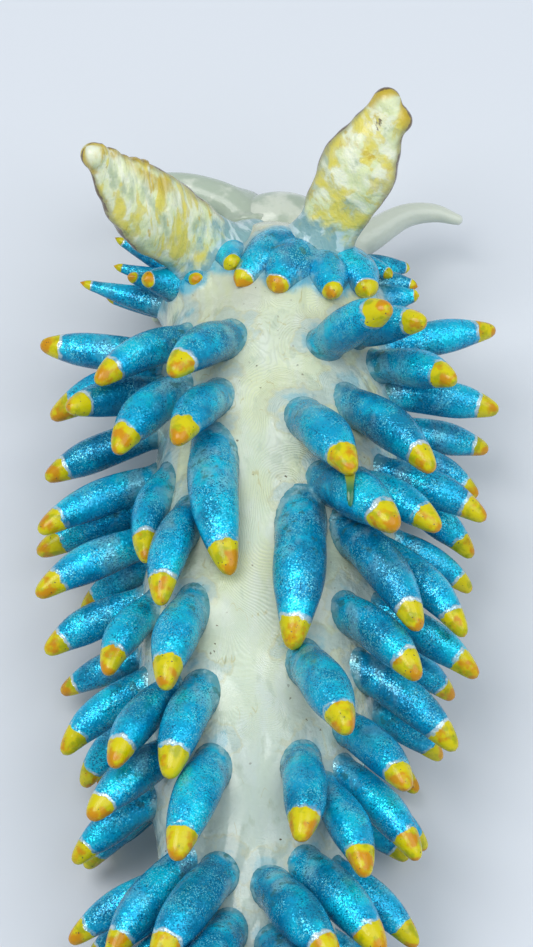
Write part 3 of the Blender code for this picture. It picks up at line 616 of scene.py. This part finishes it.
def rhinophore_at(side, shares):
    """Points of a rhinophore's middle line, and its half width there."""
    station, around, reach = RHINOPHORES[side]
    root = skin(station * MM, math.radians(around))
    shares = np.asarray(shares, float)
    half_width = smooth_through(RHINOPHORE_SHAPE[side], shares)[..., 0] * MM
    across = unit(np.cross(reach, BROAD_FACE))
    bow = across * RHINOPHORE_BOW[side] * MM * np.sin(math.pi * shares)[..., None]
    return root + np.array(reach) * MM * shares[..., None] + bow, half_width


def horn_balls():
    """Balls that fill the rhinophores and tentacles."""
    lines = [rhinophore_at(side, np.linspace(RHINOPHORE_JOIN, 1, HORN_BALLS)) for side in RHINOPHORES]
    lines += [horn_line(places, np.linspace(0, 1, HORN_BALLS)) for places in ORAL_TENTACLES.values()]
    return np.concatenate([np.column_stack([points, radii]) for points, radii in lines])


rows, varies = ceras_rows()
station, around, splay, rise, length, half_width = rows.T
sides_of = np.where(around < 0, -1.0, 1.0)
splay, rise = np.radians(splay), np.radians(rise)
level = np.cos(rise)
headings = np.stack([sides_of * np.sin(splay) * level, -np.cos(splay) * level, np.sin(rise)], axis=-1)
ceras_length = length * MM
outer = np.clip((np.abs(around) - INNER_AROUND) / (OUTER_AROUND - INNER_AROUND), 0, 1)
girths = INNER_GIRTH + (OUTER_GIRTH - INNER_GIRTH) * outer
girths = girths * np.minimum(1, LEAST_GIRTH + (1 - LEAST_GIRTH) * ceras_length / FULL_LENGTH)
girths = np.where(half_width > 0, half_width * MM, girths) * (1 + varies)
roots = skin(station * MM, np.radians(around))
normals = skin_normal(station * MM, np.radians(around))
home = length_at(roots[:, 1])
mounds = home == 0
headings = settled(roots, normals, headings, ceras_length, girths, mounds, home, horn_balls())


def ceras_rings(k, draw):
    """Rings of points of one ceras, and the paint values on them."""
    shares = CERAS_RINGS
    lines = ceras_lines(roots[k:k + 1], normals[k:k + 1], headings[k:k + 1], ceras_length[k:k + 1], shares)[0]
    along = unit(np.gradient(lines, axis=0))
    across = unit(np.cross(along, np.cross(normals[k], headings[k])))
    up = np.cross(across, along)
    turns = np.linspace(0, 2 * math.pi, CERAS_SIDES, endpoint=False)
    wave = 1.0
    for lobes, much in zip((2, 3), OFF_ROUND):
        wave = wave + much * np.sin(lobes * turns + draw.uniform(0, 6))
    swell = 1 + OFF_EVEN * np.sin(shares * 9 + draw.uniform(0, 6)) * np.sin(np.pi * shares)
    shape = MOUND_SHAPE if mounds[k] else CERAS_SHAPE
    radii = np.maximum(smooth_through(shape, shares)[:, 0], 0) * girths[k] * swell
    ring = across[:, None] * np.cos(turns)[None, :, None] + up[:, None] * np.sin(turns)[None, :, None]
    points = lines[:, None] + ring * (radii[:, None] * wave[None, :])[..., None]
    height = above_skin(points)[0]
    reach = np.clip(1 - height / FLARE_HEIGHT, 0, 1) ** 2
    fade = np.clip(1.6 - 3.5 * shares, 0, 1)[:, None]
    points = points + ring * (FLARE * reach * fade)[..., None] * min(1.0, girths[k] / OUTER_GIRTH)
    full = np.ones(points.shape[:2])
    cap_share = MOUND_CAP if mounds[k] else min(1 - CAP_START, CAP_LENGTH / ceras_length[k])
    brushed = 1 - (1 - shares) * (1 - CAP_START) / cap_share
    height = height / MM * (MOUND_CLEAR if mounds[k] else 1)
    return points, {"along": brushed[:, None] * full, "seed": draw.random() * full, "height": height}


DEEP_BLUE = (0.001, 0.22, 0.42, 1)
SEA_BLUE = (0.001, 0.45, 0.76, 1)
LIGHT_BLUE = (0.004, 0.68, 0.92, 1)
CLEAR_RESIN = (0.16, 0.46, 0.54, 1)
PALE_RESIN = (0.36, 0.64, 0.70, 1)
# the dark flakes are the paint's own, and the same dark colour is also used as painted shade
DARK_FLAKE_AND_SHADE = (0.002, 0.11, 0.24, 1)
BRIGHT_FLAKE_AND_GLINT = (0.22, 0.88, 1.0, 1)
DIRT = (0.05, 0.19, 0.16, 1)
RING_WHITE = (0.60, 0.76, 0.80, 1)
CAP_YELLOW = (0.66, 0.58, 0.0, 1)
CAP_LIME = (0.34, 0.38, 0.0, 1)
CAP_ORANGE = (0.60, 0.22, 0.0, 1)
CAP_START = 0.765
CAP_LENGTH = 6.4 * MM
MOUND_CAP = 0.16
# how much less of a short ceras is painted up from the skin
MOUND_CLEAR = 0.6
GLITTER = 0.45
FLAKE_TILT = 0.5
FLAKE_SIZE = 0.25 * MM


def ceras_finish():
    """Blue glitter paint, a white ring and a yellow cap blushed orange, under gloss varnish."""
    made, tree, shader = new_finish("ceras paint", 0.24, 0.1, 0.06, (0.5, 0.8, 1.0), 2 * MM)
    along = painted(tree, "along")
    seed = painted(tree, "seed")
    height = painted(tree, "height")
    shade = mixed(tree, blotches(tree, 0.40, 0.66, 6 * MM, 4), SEA_BLUE, LIGHT_BLUE)
    night = sum_of(tree, "ADD", cloud(tree, 8 * MM, 3, offset=4.0), part_of(tree, seed, 0.22))
    shade = washed(tree, shade, DEEP_BLUE, rising(tree, night, 0.58, 0.76), 0.8)
    pale = part_of(tree, blotches(tree, 0.50, 0.66, 5 * MM, 4, (1, 0.6, 1), offset=45.0),
                  rising(tree, along, 0.62, 0.2))
    shade = washed(tree, shade, PALE_RESIN, pale, 0.55)
    dark = part_of(tree, rising(tree, grains(tree, 0.22 * MM), 0.70, 0.80),
                  blotches(tree, 0.36, 0.60, 4 * MM, offset=6.0))
    shade = washed(tree, shade, DARK_FLAKE_AND_SHADE, dark, 0.8)
    # bright flakes: partly the glitter paint's own lighter flakes, partly painted glints
    bright = part_of(tree, rising(tree, grains(tree, 0.2 * MM, 7.0), 0.78, 0.86),
                    blotches(tree, 0.38, 0.60, 5 * MM, offset=1.0))
    shade = washed(tree, shade, BRIGHT_FLAKE_AND_GLINT, bright, 0.7)
    bare = sum_of(tree, "ADD", height, part_of(tree, cloud(tree, 2.5 * MM, 4, offset=9.0), 5.0))
    misty = blotches(tree, 0.46, 0.60, 2 * MM, 4, offset=37.0)
    clear = mixed(tree, misty, CLEAR_RESIN, PALE_RESIN)
    shade = mixed(tree, rising(tree, bare, 3.4, 5.4), clear, shade)
    dirt = part_of(tree, blotches(tree, 0.60, 0.66, 2.6 * MM, 4, offset=19.0),
                  rising(tree, along, 0.5, 0.2))
    shade = washed(tree, shade, DIRT, dirt, 0.6)
    uneven = part_of(tree, cloud(tree, 2.2 * MM, 3, offset=3.0), 0.09)
    wander = sum_of(tree, "ADD", uneven, part_of(tree, seed, 0.04))
    painted_to = sum_of(tree, "SUBTRACT", along, wander)
    start = CAP_START - 0.065
    ring = rising(tree, painted_to, start - 0.034, start - 0.012)
    patchy = sum_of(tree, "ADD", cloud(tree, 2 * MM, 3, offset=5.0), part_of(tree, seed, 0.3))
    ring = part_of(tree, ring, rising(tree, patchy, 0.45, 0.75))
    shade = mixed(tree, ring, shade, RING_WHITE)
    # painted shade: the blue is darkened towards the sides and underside of each ceras, where its surface
    # faces away from up
    shade = mixed(tree, rising(tree, upward(tree), 0.75, -0.15), shade, mixed(tree, 0.55, shade, DARK_FLAKE_AND_SHADE))
    lime = blotches(tree, 0.47, 0.66, 2.4 * MM, 4, offset=2.0)
    yellow = mixed(tree, part_of(tree, lime, 0.8), CAP_YELLOW, CAP_LIME)
    blush = sum_of(tree, "ADD", part_of(tree, along, 0.7), cloud(tree, 3.2 * MM, 5, offset=11.0))
    yellow = mixed(tree, part_of(tree, rising(tree, blush, 1.08, 1.24), 0.85), yellow, CAP_ORANGE)
    freckles = rising(tree, grains(tree, 0.25 * MM, 13.0), 0.992, 0.996)
    yellow = mixed(tree, freckles, yellow, SPECK_BROWN)
    cap = rising(tree, painted_to, start, start + 0.012)
    shade = mixed(tree, cap, shade, yellow)
    tree.links.new(shade, shader.inputs["Base Color"])
    tree.links.new(sum_of(tree, "SUBTRACT", GLITTER, part_of(tree, cap, GLITTER)), shader.inputs["Metallic"])
    flakes = put(tree, "TexVoronoi", {"Vector": placed(tree), "Scale": 1 / FLAKE_SIZE})
    tilt = put(tree, "VectorMath", {0: flakes.outputs["Color"], 1: (0.5, 0.5, 0.5)}, operation="SUBTRACT")
    leaning = sum_of(tree, "SUBTRACT", FLAKE_TILT, part_of(tree, cap, FLAKE_TILT))
    tilt = put(tree, "VectorMath", {0: tilt.outputs[0], 3: leaning}, operation="SCALE")
    facing = put(tree, "NewGeometry").outputs["Normal"]
    lying = put(tree, "VectorMath", {0: facing, 1: tilt.outputs[0]}, operation="ADD")
    lying = put(tree, "VectorMath", {0: lying.outputs[0]}, operation="NORMALIZE")
    coats = sum_of(tree, "ADD", part_of(tree, cap, 0.6), part_of(tree, ring, 0.3))
    relief = sum_of(tree, "ADD", coats, part_of(tree, cloud(tree, 1.2 * MM, 4), 0.9))
    bump = put(tree, "Bump", {"Height": relief, "Strength": 0.7, "Distance": 0.14 * MM,
                              "Normal": lying.outputs[0]})
    tree.links.new(bump.outputs[0], shader.inputs["Normal"])
    return made


ceras_paint = ceras_finish()
scatter = random.Random(21)
GROUPS = {"collar": 0, "front": 1, "rear": 2, "tail": 3}
for name, part in GROUPS.items():
    cluster = bmesh.new()
    for k in np.flatnonzero(home == part):
        points, paint = ceras_rings(k, scatter)
        rolled(points, paint, cluster)
    add_piece("cerata_" + name, cluster, ceras_paint)

# The drip: a run of wet yellow that fell from one cap and slid over the blue of the ceras below,
# turning green where it is thin.
DRIP_FROM = 37
# how far round the root to look for what the drip lies on, and where it starts from the cap's tip,
# across and up in mm
DRIP_NEAR = 45 * MM
DRIP_START = (-0.5, 1.2)
DRIP_LENGTH = 7.2 * MM
DRIP_WIDTH = 0.9 * MM
DRIP_FLAT = 0.3
DRIP_BESIDE = 1.5 * MM
DRIP_LIFT = 0.1 * MM
DRIP_TIPS = (0.4 * MM, 0.7 * MM)
DRIP_YELLOW = (0.40, 0.44, 0.02, 1)
DRIP_GREEN = (0.015, 0.16, 0.06, 1)
down = np.array((0, -0.8746, -0.4848))
toward = np.array((0, -0.4848, 0.8746))
near = np.linalg.norm(roots - roots[DRIP_FROM], axis=1) < DRIP_NEAR
near[DRIP_FROM] = False
over = np.concatenate([ceras_rings(k, random.Random(5))[0].reshape(-1, 3) for k in np.flatnonzero(near)])
fall = np.linspace(0, 1, 12)
drip_line = roots[DRIP_FROM] + headings[DRIP_FROM] * ceras_length[DRIP_FROM]
drip_line = drip_line + (DRIP_START[0] * MM, 0, 0) + down * (fall[:, None] * DRIP_LENGTH - DRIP_START[1] * MM)
tops = []
for spot in drip_line:
    beside = np.hypot((over - spot)[:, 0], (over - spot) @ down)
    tops.append((over @ toward)[beside < DRIP_BESIDE].max())
slope = np.polyfit(fall, tops, 2)
drip_line = drip_line + toward * (np.polyval(slope, fall) - drip_line @ toward + DRIP_LIFT)[:, None]
wobble = 1 + 0.12 * np.sin(fall * 9)
drip_rings = tube(drip_line, DRIP_WIDTH * (1.1 - 0.6 * fall ** 2) * wobble, 20, DRIP_FLAT)
drip_rings = rounded_ends(drip_rings, *DRIP_TIPS)
drip_paint, drip_tree, drip_shader = new_finish("drip", 0.2, 0.6, 0.0, (1, 1, 1), 1 * MM)
run = rising(drip_tree, painted(drip_tree, "run"), 0.25, 0.6)
drip_tree.links.new(mixed(drip_tree, run, DRIP_YELLOW, DRIP_GREEN), drip_shader.inputs["Base Color"])
run_value = np.linspace(0, 1, len(drip_rings))[:, None] * np.ones(drip_rings.shape[:2])
add_piece("paint_drip", rolled(drip_rings, {"run": run_value}), drip_paint)

# The skin: one sheet over the whole body, swollen a little round each root and between the short
# cerata of the collar, where thinned blue has crept out over the ivory. A saddle joins the horns.
SWELL = 1.1 * MM
SWELL_REACH = 7.5 * MM
TINT_REACH = 9 * MM
COLLAR_REACH = 1.4 * MM
COLLAR_SHARES = np.linspace(0.05, 0.5, 6)
COLLAR_SWELL = 3.0 * MM
# the belly stays as it is below the first height, and the flanks below the second
BELLY_LINE = 6 * MM
FLANK_LINE = 12 * MM
SADDLE = 3 * MM
SADDLE_AT = 11 * MM
SADDLE_REACH = (11 * MM, 6 * MM)
DROOP = 4.5 * MM
DROOP_REACH = 9 * MM
DROOP_FULL = 0.7
# the face bulges forward round the roots of the tentacles: its middle across and up, in mm
FACE = (2, 14)
FACE_REACH = (13 * MM, 7 * MM)
FACE_DEPTH = 9 * MM
FACE_BULGE = 6 * MM
flat = body_rings.reshape(-1, 3)
nearest = np.full(len(flat), 1.0)
for root in roots:
    nearest = np.minimum(nearest, np.linalg.norm(flat - root, axis=1))
rise_at = np.exp(-(nearest / SWELL_REACH) ** 2) * SWELL
heights, out = above_skin(flat)
flat = flat + out * (rise_at * (flat[:, 2] > BELLY_LINE))[:, None]
collar = np.zeros(len(flat))
for k in np.flatnonzero(mounds):
    one = slice(k, k + 1)
    line = ceras_lines(roots[one], normals[one], headings[one], ceras_length[one], COLLAR_SHARES)[0]
    away = np.linalg.norm(flat[:, None] - line[None], axis=-1).min(axis=1)
    collar = np.maximum(collar, np.exp(-(away / (girths[k] + COLLAR_REACH)) ** 2))
flat = flat + out * (COLLAR_SWELL * collar * (flat[:, 2] > FLANK_LINE))[:, None]
saddle = (flat[:, 0] / SADDLE_REACH[0]) ** 2 + ((HALF_LENGTH - flat[:, 1] - SADDLE_AT) / SADDLE_REACH[1]) ** 2
flat = flat + out * (SADDLE * np.exp(-saddle) * (flat[:, 2] > FLANK_LINE))[:, None]
droop = np.clip(1 - (HALF_LENGTH - flat[:, 1]) / DROOP_REACH, 0, DROOP_FULL) / DROOP_FULL
flat = flat - (0, 0, 1) * (DROOP * droop ** 1.5 * (flat[:, 2] > FLANK_LINE))[:, None]
across, station, up = (flat - (FACE[0] * MM, HALF_LENGTH, FACE[1] * MM)).T
face = np.exp(-(across / FACE_REACH[0]) ** 2 - (up / FACE_REACH[1]) ** 2)
face = face * np.clip(1 + station / FACE_DEPTH, 0, 1)
flat = flat + (0, 1, 0) * (FACE_BULGE * face)[:, None]
tint = np.exp(-(nearest / TINT_REACH) ** 2)
body_rings = flat.reshape(body_rings.shape)
paint = {"tint": tint.reshape(body_rings.shape[:2]), "collar": collar.reshape(body_rings.shape[:2])}
body = rolled(body_rings, paint)
body_piece = add_piece("body_skin", body, resin)
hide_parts("head", "trunk_front", "trunk_rear", "tail")

# The muzzle: a blunt bulb of bare resin in front of the head, printed with it, and under it a lip
# on each side of the mouth.
MUZZLE = (2.9, 0.6, 14.3)
MUZZLE_RADIUS = 7.5 * MM
MUZZLE_STRETCH = 1.45
LIP_PLACE = (2.3, 7, 8.5)
LIP_RADIUS = 2.4 * MM
FROST = (0.66, 0.71, 0.61, 1)
FROST_SHADE = (0.44, 0.52, 0.42, 1)
FROST_SIDE_SHADE = (0.22, 0.29, 0.23, 1)


def frost_finish(name, bloom, deep):
    """Bare resin, frosted, with painted shade that makes it greyer at the sides, where its surface faces away
    from up.
    """
    made, tree, shader = new_finish(name, 0.24, 0.5, 0.2, (1.0, 0.95, 0.85), 2 * MM)
    shade = mixed(tree, rising(tree, cloud(tree, 5 * MM, 5), bloom, bloom + 0.2), FROST, FROST_SHADE)
    # painted shade: the resin is greyer at the sides, where the surface faces away from up
    side_shade = sum_of(tree, "ADD", upward(tree), part_of(tree, cloud(tree, 3 * MM, 5, offset=4.0), 0.3))
    shade = washed(tree, shade, FROST_SIDE_SHADE, rising(tree, side_shade, 0.95, 0.15), deep)
    tree.links.new(shade, shader.inputs["Base Color"])
    bump = put(tree, "Bump", {"Height": cloud(tree, 2.0 * MM, 5), "Strength": 0.5, "Distance": 0.4 * MM})
    tree.links.new(bump.outputs[0], shader.inputs["Normal"])
    return made


frost = frost_finish("frosted resin", 0.42, 0.85)
snout = Vector((0, HALF_LENGTH, 0))
muzzle = bmesh.new()
bulb = bmesh.ops.create_icosphere(muzzle, subdivisions=5, radius=MUZZLE_RADIUS)["verts"]
bmesh.ops.scale(muzzle, verts=bulb, vec=(MUZZLE_STRETCH, 1, 1))
bmesh.ops.translate(muzzle, verts=bulb, vec=snout + Vector(MUZZLE) * MM)
spread, ahead, up = LIP_PLACE
for side in (-1, 1):
    pad = bmesh.ops.create_icosphere(muzzle, subdivisions=4, radius=LIP_RADIUS)["verts"]
    bmesh.ops.translate(muzzle, verts=pad, vec=snout + Vector((MUZZLE[0] + side * spread, ahead, up)) * MM)
add_piece("muzzle", muzzle, frost)

# The rhinophores: two broad flattened horns behind the snout, printed with the head. They are washed
# ivory and streaked yellow, with painted shade in olive and brown along their edges, bare grey resin below.
RHINOPHORE_DEPTH = 0.68
RHINOPHORE_RINGS = 110
RHINOPHORE_SIDES = 72
KNOBS = {
    "left": ((-0.2, -1, 2.5), (2.3, -4.7, 1.1)),
    "right": ((-1.3, -1.2, 2.8), (3.3, -3.7, 2.4)),
}
KNOB_BLEND = 0.7 * MM
KNOB_FLATTER = 0.35
TIP_ROUND = 0.03
SCALLOP_DEPTH = 0.07
SCALLOPS = (0.70, 0.92, 56)
HORN_FLARE = 4.5 * MM
HORN_FLARE_HEIGHT = 9 * MM
HORN_LUMPS = (4 * MM, 0.5 * MM)
HORN_IVORY = (0.72, 0.79, 0.46, 1)
HORN_MILK = (0.82, 0.86, 0.66, 1)
HORN_GLASS = (0.36, 0.46, 0.31, 1)
HORN_YELLOW = (0.74, 0.65, 0.09, 1)
HORN_OCHRE = (0.56, 0.40, 0.015, 1)
# the olive, and the brown where it lines the edges, are painted shade; the brown is also the dark mark near
# the tip
HORN_EDGE_SHADE = (0.30, 0.28, 0.08, 1)
HORN_BROWN_AND_EDGE_SHADE = (0.10, 0.05, 0.02, 1)
HORN_CLEAR = (0.24, 0.42, 0.43, 1)
HORN_BASE_SHINE = (0.50, 0.66, 0.67, 1)
# how each horn is brushed: direction of the strokes, how long they are, and their width in mm
BRUSHED = {"left": (2.42, 2.6, 2.6), "right": (0.6, 1.3, 4.2)}
# where the browner upper edge starts and is full, in mm across
UPPER_EDGE = {"left": (2.0, 5.5), "right": (9.0, 12.0)}
# the dark mark near each tip: share of the length, and mm across
TIP_MARKS = {"left": (0.89, 0.7), "right": (0.86, -0.3)}


def horn_finish(side):
    """Ivory wash with yellow streaks or blotches, painted olive and brown shade along the edges, and a bare
    grey foot.
    """
    made, tree, shader = new_finish("horn wash " + side, 0.26, 0.4, 0.2, (1.0, 0.9, 0.6), 2 * MM)
    along = painted(tree, "along")
    across = painted(tree, "across")
    edge = painted(tree, "edge")
    deep = painted(tree, "deep")
    length = part_of(tree, along, Vector(RHINOPHORES[side][2]).length)
    flat = put(tree, "CombineXYZ", {0: length, 1: across, 2: deep})
    turn, stretch, width = BRUSHED[side]

    def strokes(size, detail, offset):
        inputs = {"Vector": flat.outputs[0], "Rotation": (0, 0, turn), "Scale": (1, stretch, 1),
                  "Location": (offset,) * 3}
        strip = put(tree, "Mapping", inputs, vector_type="TEXTURE")
        inputs = {"Vector": strip.outputs[0], "Scale": 1 / size, "Detail": detail, "Distortion": 0.4}
        return put(tree, "TexNoise", inputs).outputs["Fac"]

    shade = mixed(tree, rising(tree, strokes(width, 4.0, 3.0), 0.40, 0.62), HORN_IVORY, HORN_MILK)
    glass = rising(tree, strokes(width * 1.3, 5.0, 31.0), 0.52, 0.68)
    shade = washed(tree, shade, HORN_GLASS, glass, 0.75)
    wash = strokes(width, 5.0, 0.0)
    shade = washed(tree, shade, HORN_YELLOW, rising(tree, wash, 0.47, 0.63), 0.9)
    dried = part_of(tree, rising(tree, wash, 0.52, 0.545), rising(tree, wash, 0.575, 0.55))
    shade = washed(tree, shade, HORN_OCHRE, dried, 0.2)
    strong = rising(tree, strokes(width * 0.7, 5.0, 17.0), 0.62, 0.74)
    shade = washed(tree, shade, HORN_OCHRE, strong, 0.8)
    # painted shade: olive along the horn's edges, where its surface turns away
    rim = sum_of(tree, "ADD", edge, part_of(tree, cloud(tree, 3 * MM, 4, offset=6.0), 0.16))
    shade = washed(tree, shade, HORN_EDGE_SHADE, rising(tree, rim, 0.90, 1.07), 0.8)
    tip = sum_of(tree, "ADD", along, part_of(tree, cloud(tree, 2 * MM, 4, offset=7.0), 0.12))
    ringed = part_of(tree, rising(tree, tip, 0.93, 1.0), rising(tree, rim, 0.50, 0.98))
    shade = washed(tree, shade, HORN_OCHRE, ringed, 0.9)
    bare = sum_of(tree, "ADD", along, part_of(tree, cloud(tree, 4 * MM, 4, offset=4.0), 0.4))
    shine = rising(tree, strokes(width * 0.6, 4.0, 43.0), 0.50, 0.60)
    clear = mixed(tree, shine, HORN_CLEAR, HORN_BASE_SHINE)
    shade = mixed(tree, rising(tree, bare, 0.34, 0.46), clear, shade)
    # painted shade: a thin brown line along the outermost edge, above the bare foot
    line = part_of(tree, rising(tree, rim, 1.045, 1.07), rising(tree, along, 0.2, 0.35))
    shade = washed(tree, shade, HORN_BROWN_AND_EDGE_SHADE, line, 0.9)
    share, out = TIP_MARKS[side]
    mark = (share * Vector(RHINOPHORES[side][2]).length, out, 0)
    place = put(tree, "CombineXYZ", {0: length, 1: across})
    away = put(tree, "VectorMath", {0: place.outputs[0], 1: mark}, operation="DISTANCE").outputs["Value"]
    away = sum_of(tree, "ADD", away, part_of(tree, cloud(tree, 1.6 * MM, 5, offset=12.0), 5.0))
    broken = rising(tree, strokes(1.1, 3.0, 51.0), 0.45, 0.53)
    front = part_of(tree, rising(tree, deep, 0.0, 0.3), broken)
    halo = part_of(tree, rising(tree, away, 5.6, 4.6), front)
    shade = washed(tree, shade, HORN_MILK, halo, 0.7)
    touch = part_of(tree, rising(tree, away, 3.3, 2.9), front)
    shade = washed(tree, shade, HORN_BROWN_AND_EDGE_SHADE, touch, 0.8)
    upper = part_of(tree, rising(tree, across, UPPER_EDGE[side][0], UPPER_EDGE[side][1]),
                   blotches(tree, 0.40, 0.58, 4 * MM, 5, offset=41.0))
    upper = part_of(tree, upper, rising(tree, along, 0.45, 0.6))
    shade = washed(tree, shade, HORN_OCHRE, upper, 0.75)
    tree.links.new(shade, shader.inputs["Base Color"])
    rough = put(tree, "Bump", {"Height": strokes(width * 0.8, 5.0, 23.0), "Strength": 0.9,
                               "Distance": 1.1 * MM})
    fine = put(tree, "Bump", {"Height": cloud(tree, 0.7 * MM, 3), "Strength": 0.6, "Distance": 0.2 * MM,
                              "Normal": rough.outputs[0]})
    tree.links.new(fine.outputs[0], shader.inputs["Normal"])
    return made


def rhinophore_rings(side):
    """Rings of points of one rhinophore, and its paint values."""
    length = np.linspace(-0.15, 0.9, RHINOPHORE_RINGS - 30)
    shares = np.concatenate([length, 1 - 0.1 * np.linspace(1, 0, 31)[1:] ** 1.6])
    points, half_width = rhinophore_at(side, shares)
    reach = unit(np.array(RHINOPHORES[side][2]))
    across = unit(np.cross(reach, BROAD_FACE))
    deep = np.cross(across, reach)
    turns = np.linspace(0, 2 * math.pi, RHINOPHORE_SIDES, endpoint=False)
    tip_round = np.sqrt(np.clip((1 - shares) / TIP_ROUND, 0, 1))
    half_width = half_width * tip_round
    ring = across * np.cos(turns)[None, :, None] + deep * np.sin(turns)[None, :, None] * RHINOPHORE_DEPTH
    scallops = np.ones((len(shares), len(turns)))
    if side == "left":
        start, end, waves = SCALLOPS
        within = (shares > start) & (shares < end)
        notches = np.abs(np.sin(shares * waves)) * within
        scallops += np.outer(notches, np.clip(np.cos(turns), 0, 1)) * SCALLOP_DEPTH
    width = half_width[:, None] * scallops
    places = points[:, None] + ring * width[..., None]
    height = above_skin(places)[0]
    low = np.clip(1.5 - 3 * shares, 0, 1)[:, None]
    flare = np.clip(1 - np.abs(height) / HORN_FLARE_HEIGHT, 0, 1) ** 2 * low
    places = places + ring * flare[..., None] * HORN_FLARE
    places = places + ring * lumpy(places, *HORN_LUMPS) * tip_round[:, None, None]
    tip = points[-1]
    for out, up, radius in KNOBS[side]:
        centre = tip + (across * out + reach * up) * MM
        from_centre = places - centre
        far = np.linalg.norm(from_centre, axis=-1, keepdims=True)
        swollen = radius * MM + KNOB_BLEND * np.logaddexp(0, (far - radius * MM) / KNOB_BLEND)
        places = centre + from_centre / np.maximum(far, SMALL) * swollen
    full = np.ones(places.shape[:2])
    paint = {"along": shares[:, None] * full, "edge": np.abs(np.cos(turns))[None, :] * full,
             "across": np.cos(turns)[None, :] * width / MM, "deep": np.sin(turns)[None, :] * full}
    return places, paint


def knob(horn, side, out, up, radius):
    """A round lobe at the tip, painted as the horn round it."""
    reach = Vector(RHINOPHORES[side][2])
    along = reach.normalized()
    across = along.cross(Vector(BROAD_FACE)).normalized()
    centre = Vector(rhinophore_at(side, [1.0])[0][0]) + (across * out + along * up) * MM
    layers = {key: horn.verts.layers.float[key] for key in ("along", "across", "edge", "deep")}
    for vert in bmesh.ops.create_icosphere(horn, subdivisions=4, radius=radius * MM)["verts"]:
        vert[layers["along"]] = 1 + (up + vert.co.dot(along) / MM) / reach.length
        vert[layers["across"]] = out + vert.co.dot(across) / MM
        vert[layers["edge"]] = vert.co.cross(across.cross(along)).length / (radius * MM)
        vert[layers["deep"]] = vert.co.dot(across.cross(along)) / (radius * MM)
        vert.co += centre - across.cross(along) * vert.co.dot(across.cross(along)) * KNOB_FLATTER


for side in RHINOPHORES:
    rings, paint = rhinophore_rings(side)
    horn = rolled(rings, paint)
    for out, up, radius in KNOBS[side]:
        knob(horn, side, out, up, radius)
    piece = add_piece("horn_" + side, horn, horn_finish(side))
    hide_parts("rhinophore_" + side)

# The oral tentacles: two long tapering feelers from the sides of the mouth, bare frosted resin,
# printed with the head.
# how far along the tones the bloom starts, and how strong the painted shade at the sides is
FEELER_FROST = {"left": (0.26, 1.0), "right": (0.9, 0.05)}
FEELER_FLARE = 2 * MM
FEELER_FLARE_HEIGHT = 4 * MM
FEELER_TIPS = (1 * MM, 1.2 * MM)

for side, places in ORAL_TENTACLES.items():
    feeler_frost = frost_finish("feeler frost " + side, *FEELER_FROST[side])
    points, radii = horn_line(places, np.linspace(0, 1, HORN_RINGS))
    rings = tube(points, radii, HORN_SIDES)
    height = above_skin(rings)[0]
    flare = np.clip(1 - np.abs(height - FEELER_FLARE) / FEELER_FLARE_HEIGHT, 0, 1) ** 2 * FEELER_FLARE
    rings = rings + unit(rings - points[:, None]) * flare[..., None]
    feeler = rolled(rounded_ends(rings, *FEELER_TIPS))
    piece = add_piece("feeler_" + side, feeler, feeler_frost)
    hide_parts("oral_tentacle_%s_root" % side, "oral_tentacle_%s_tip" % side)

# The stage: a plain pale floor, a large soft light on the left and a wider one on the right, and
# the camera behind and above the slug, looking down its back to the head.
FLOOR_SIZE = 3.0
EYE_TILT = math.radians(61)
EYE_DISTANCE = 0.9
EYE_TARGET = Vector((0.0, 0.0676, 0.02))
VIEW_HEIGHT = 0.2
SENSOR = 36.0
FLOOR_PALE = (0.68, 0.718, 0.77, 1)
STUDIO_AIR = (0.80, 0.87, 0.95, 1)
AIR_STRENGTH = 0.5
LIT_POINT = Vector((0, 0.03, 0.02))
# place, width in metres, watts and colour of each light
SOFT_LIGHTS = {
    "key": ((-0.4, 0.0, 1.1), 0.8, 6.9, (1.0, 0.98, 0.96)),
    "fill": ((0.6, -0.1, 1.0), 1.2, 5.6, (0.98, 0.99, 1.0)),
}

floor_bm = bmesh.new()
bmesh.ops.create_grid(floor_bm, x_segments=1, y_segments=1, size=FLOOR_SIZE / 2)
floor_mesh = bpy.data.meshes.new("floor")
floor_bm.to_mesh(floor_mesh)
floor_bm.free()
floor = bpy.data.objects.new("floor", floor_mesh)
bpy.context.scene.collection.objects.link(floor)
floor_finish, floor_tree, floor_shader = new_finish("pale floor", 0.8, 0.0, 0.0, (1, 1, 1), 0.01)
floor_shader.inputs["Base Color"].default_value = FLOOR_PALE
floor_mesh.materials.append(floor_finish)

for name, (place, size, watts, colour) in SOFT_LIGHTS.items():
    data = bpy.data.lights.new(name, "AREA")
    data.shape = "DISK"
    data.size = size
    data.energy = watts
    data.color = colour
    light = bpy.data.objects.new(name, data)
    light.location = place
    light.rotation_euler = (LIT_POINT - Vector(place)).to_track_quat("-Z", "Y").to_euler()
    bpy.context.scene.collection.objects.link(light)

world = bpy.data.worlds.new("studio")
world.use_nodes = True
world.node_tree.nodes["Background"].inputs[0].default_value = STUDIO_AIR
world.node_tree.nodes["Background"].inputs[1].default_value = AIR_STRENGTH
bpy.context.scene.world = world

eye = bpy.data.cameras.new("eye")
eye.sensor_width = SENSOR
eye.lens = SENSOR * EYE_DISTANCE / VIEW_HEIGHT
camera = bpy.data.objects.new("eye", eye)
camera.location = EYE_TARGET + Vector((0, -math.cos(EYE_TILT), math.sin(EYE_TILT))) * EYE_DISTANCE
camera.rotation_euler = (EYE_TARGET - camera.location).to_track_quat("-Z", "Y").to_euler()
bpy.context.scene.collection.objects.link(camera)
bpy.context.scene.camera = camera
bpy.context.scene.view_settings.view_transform = "Standard"
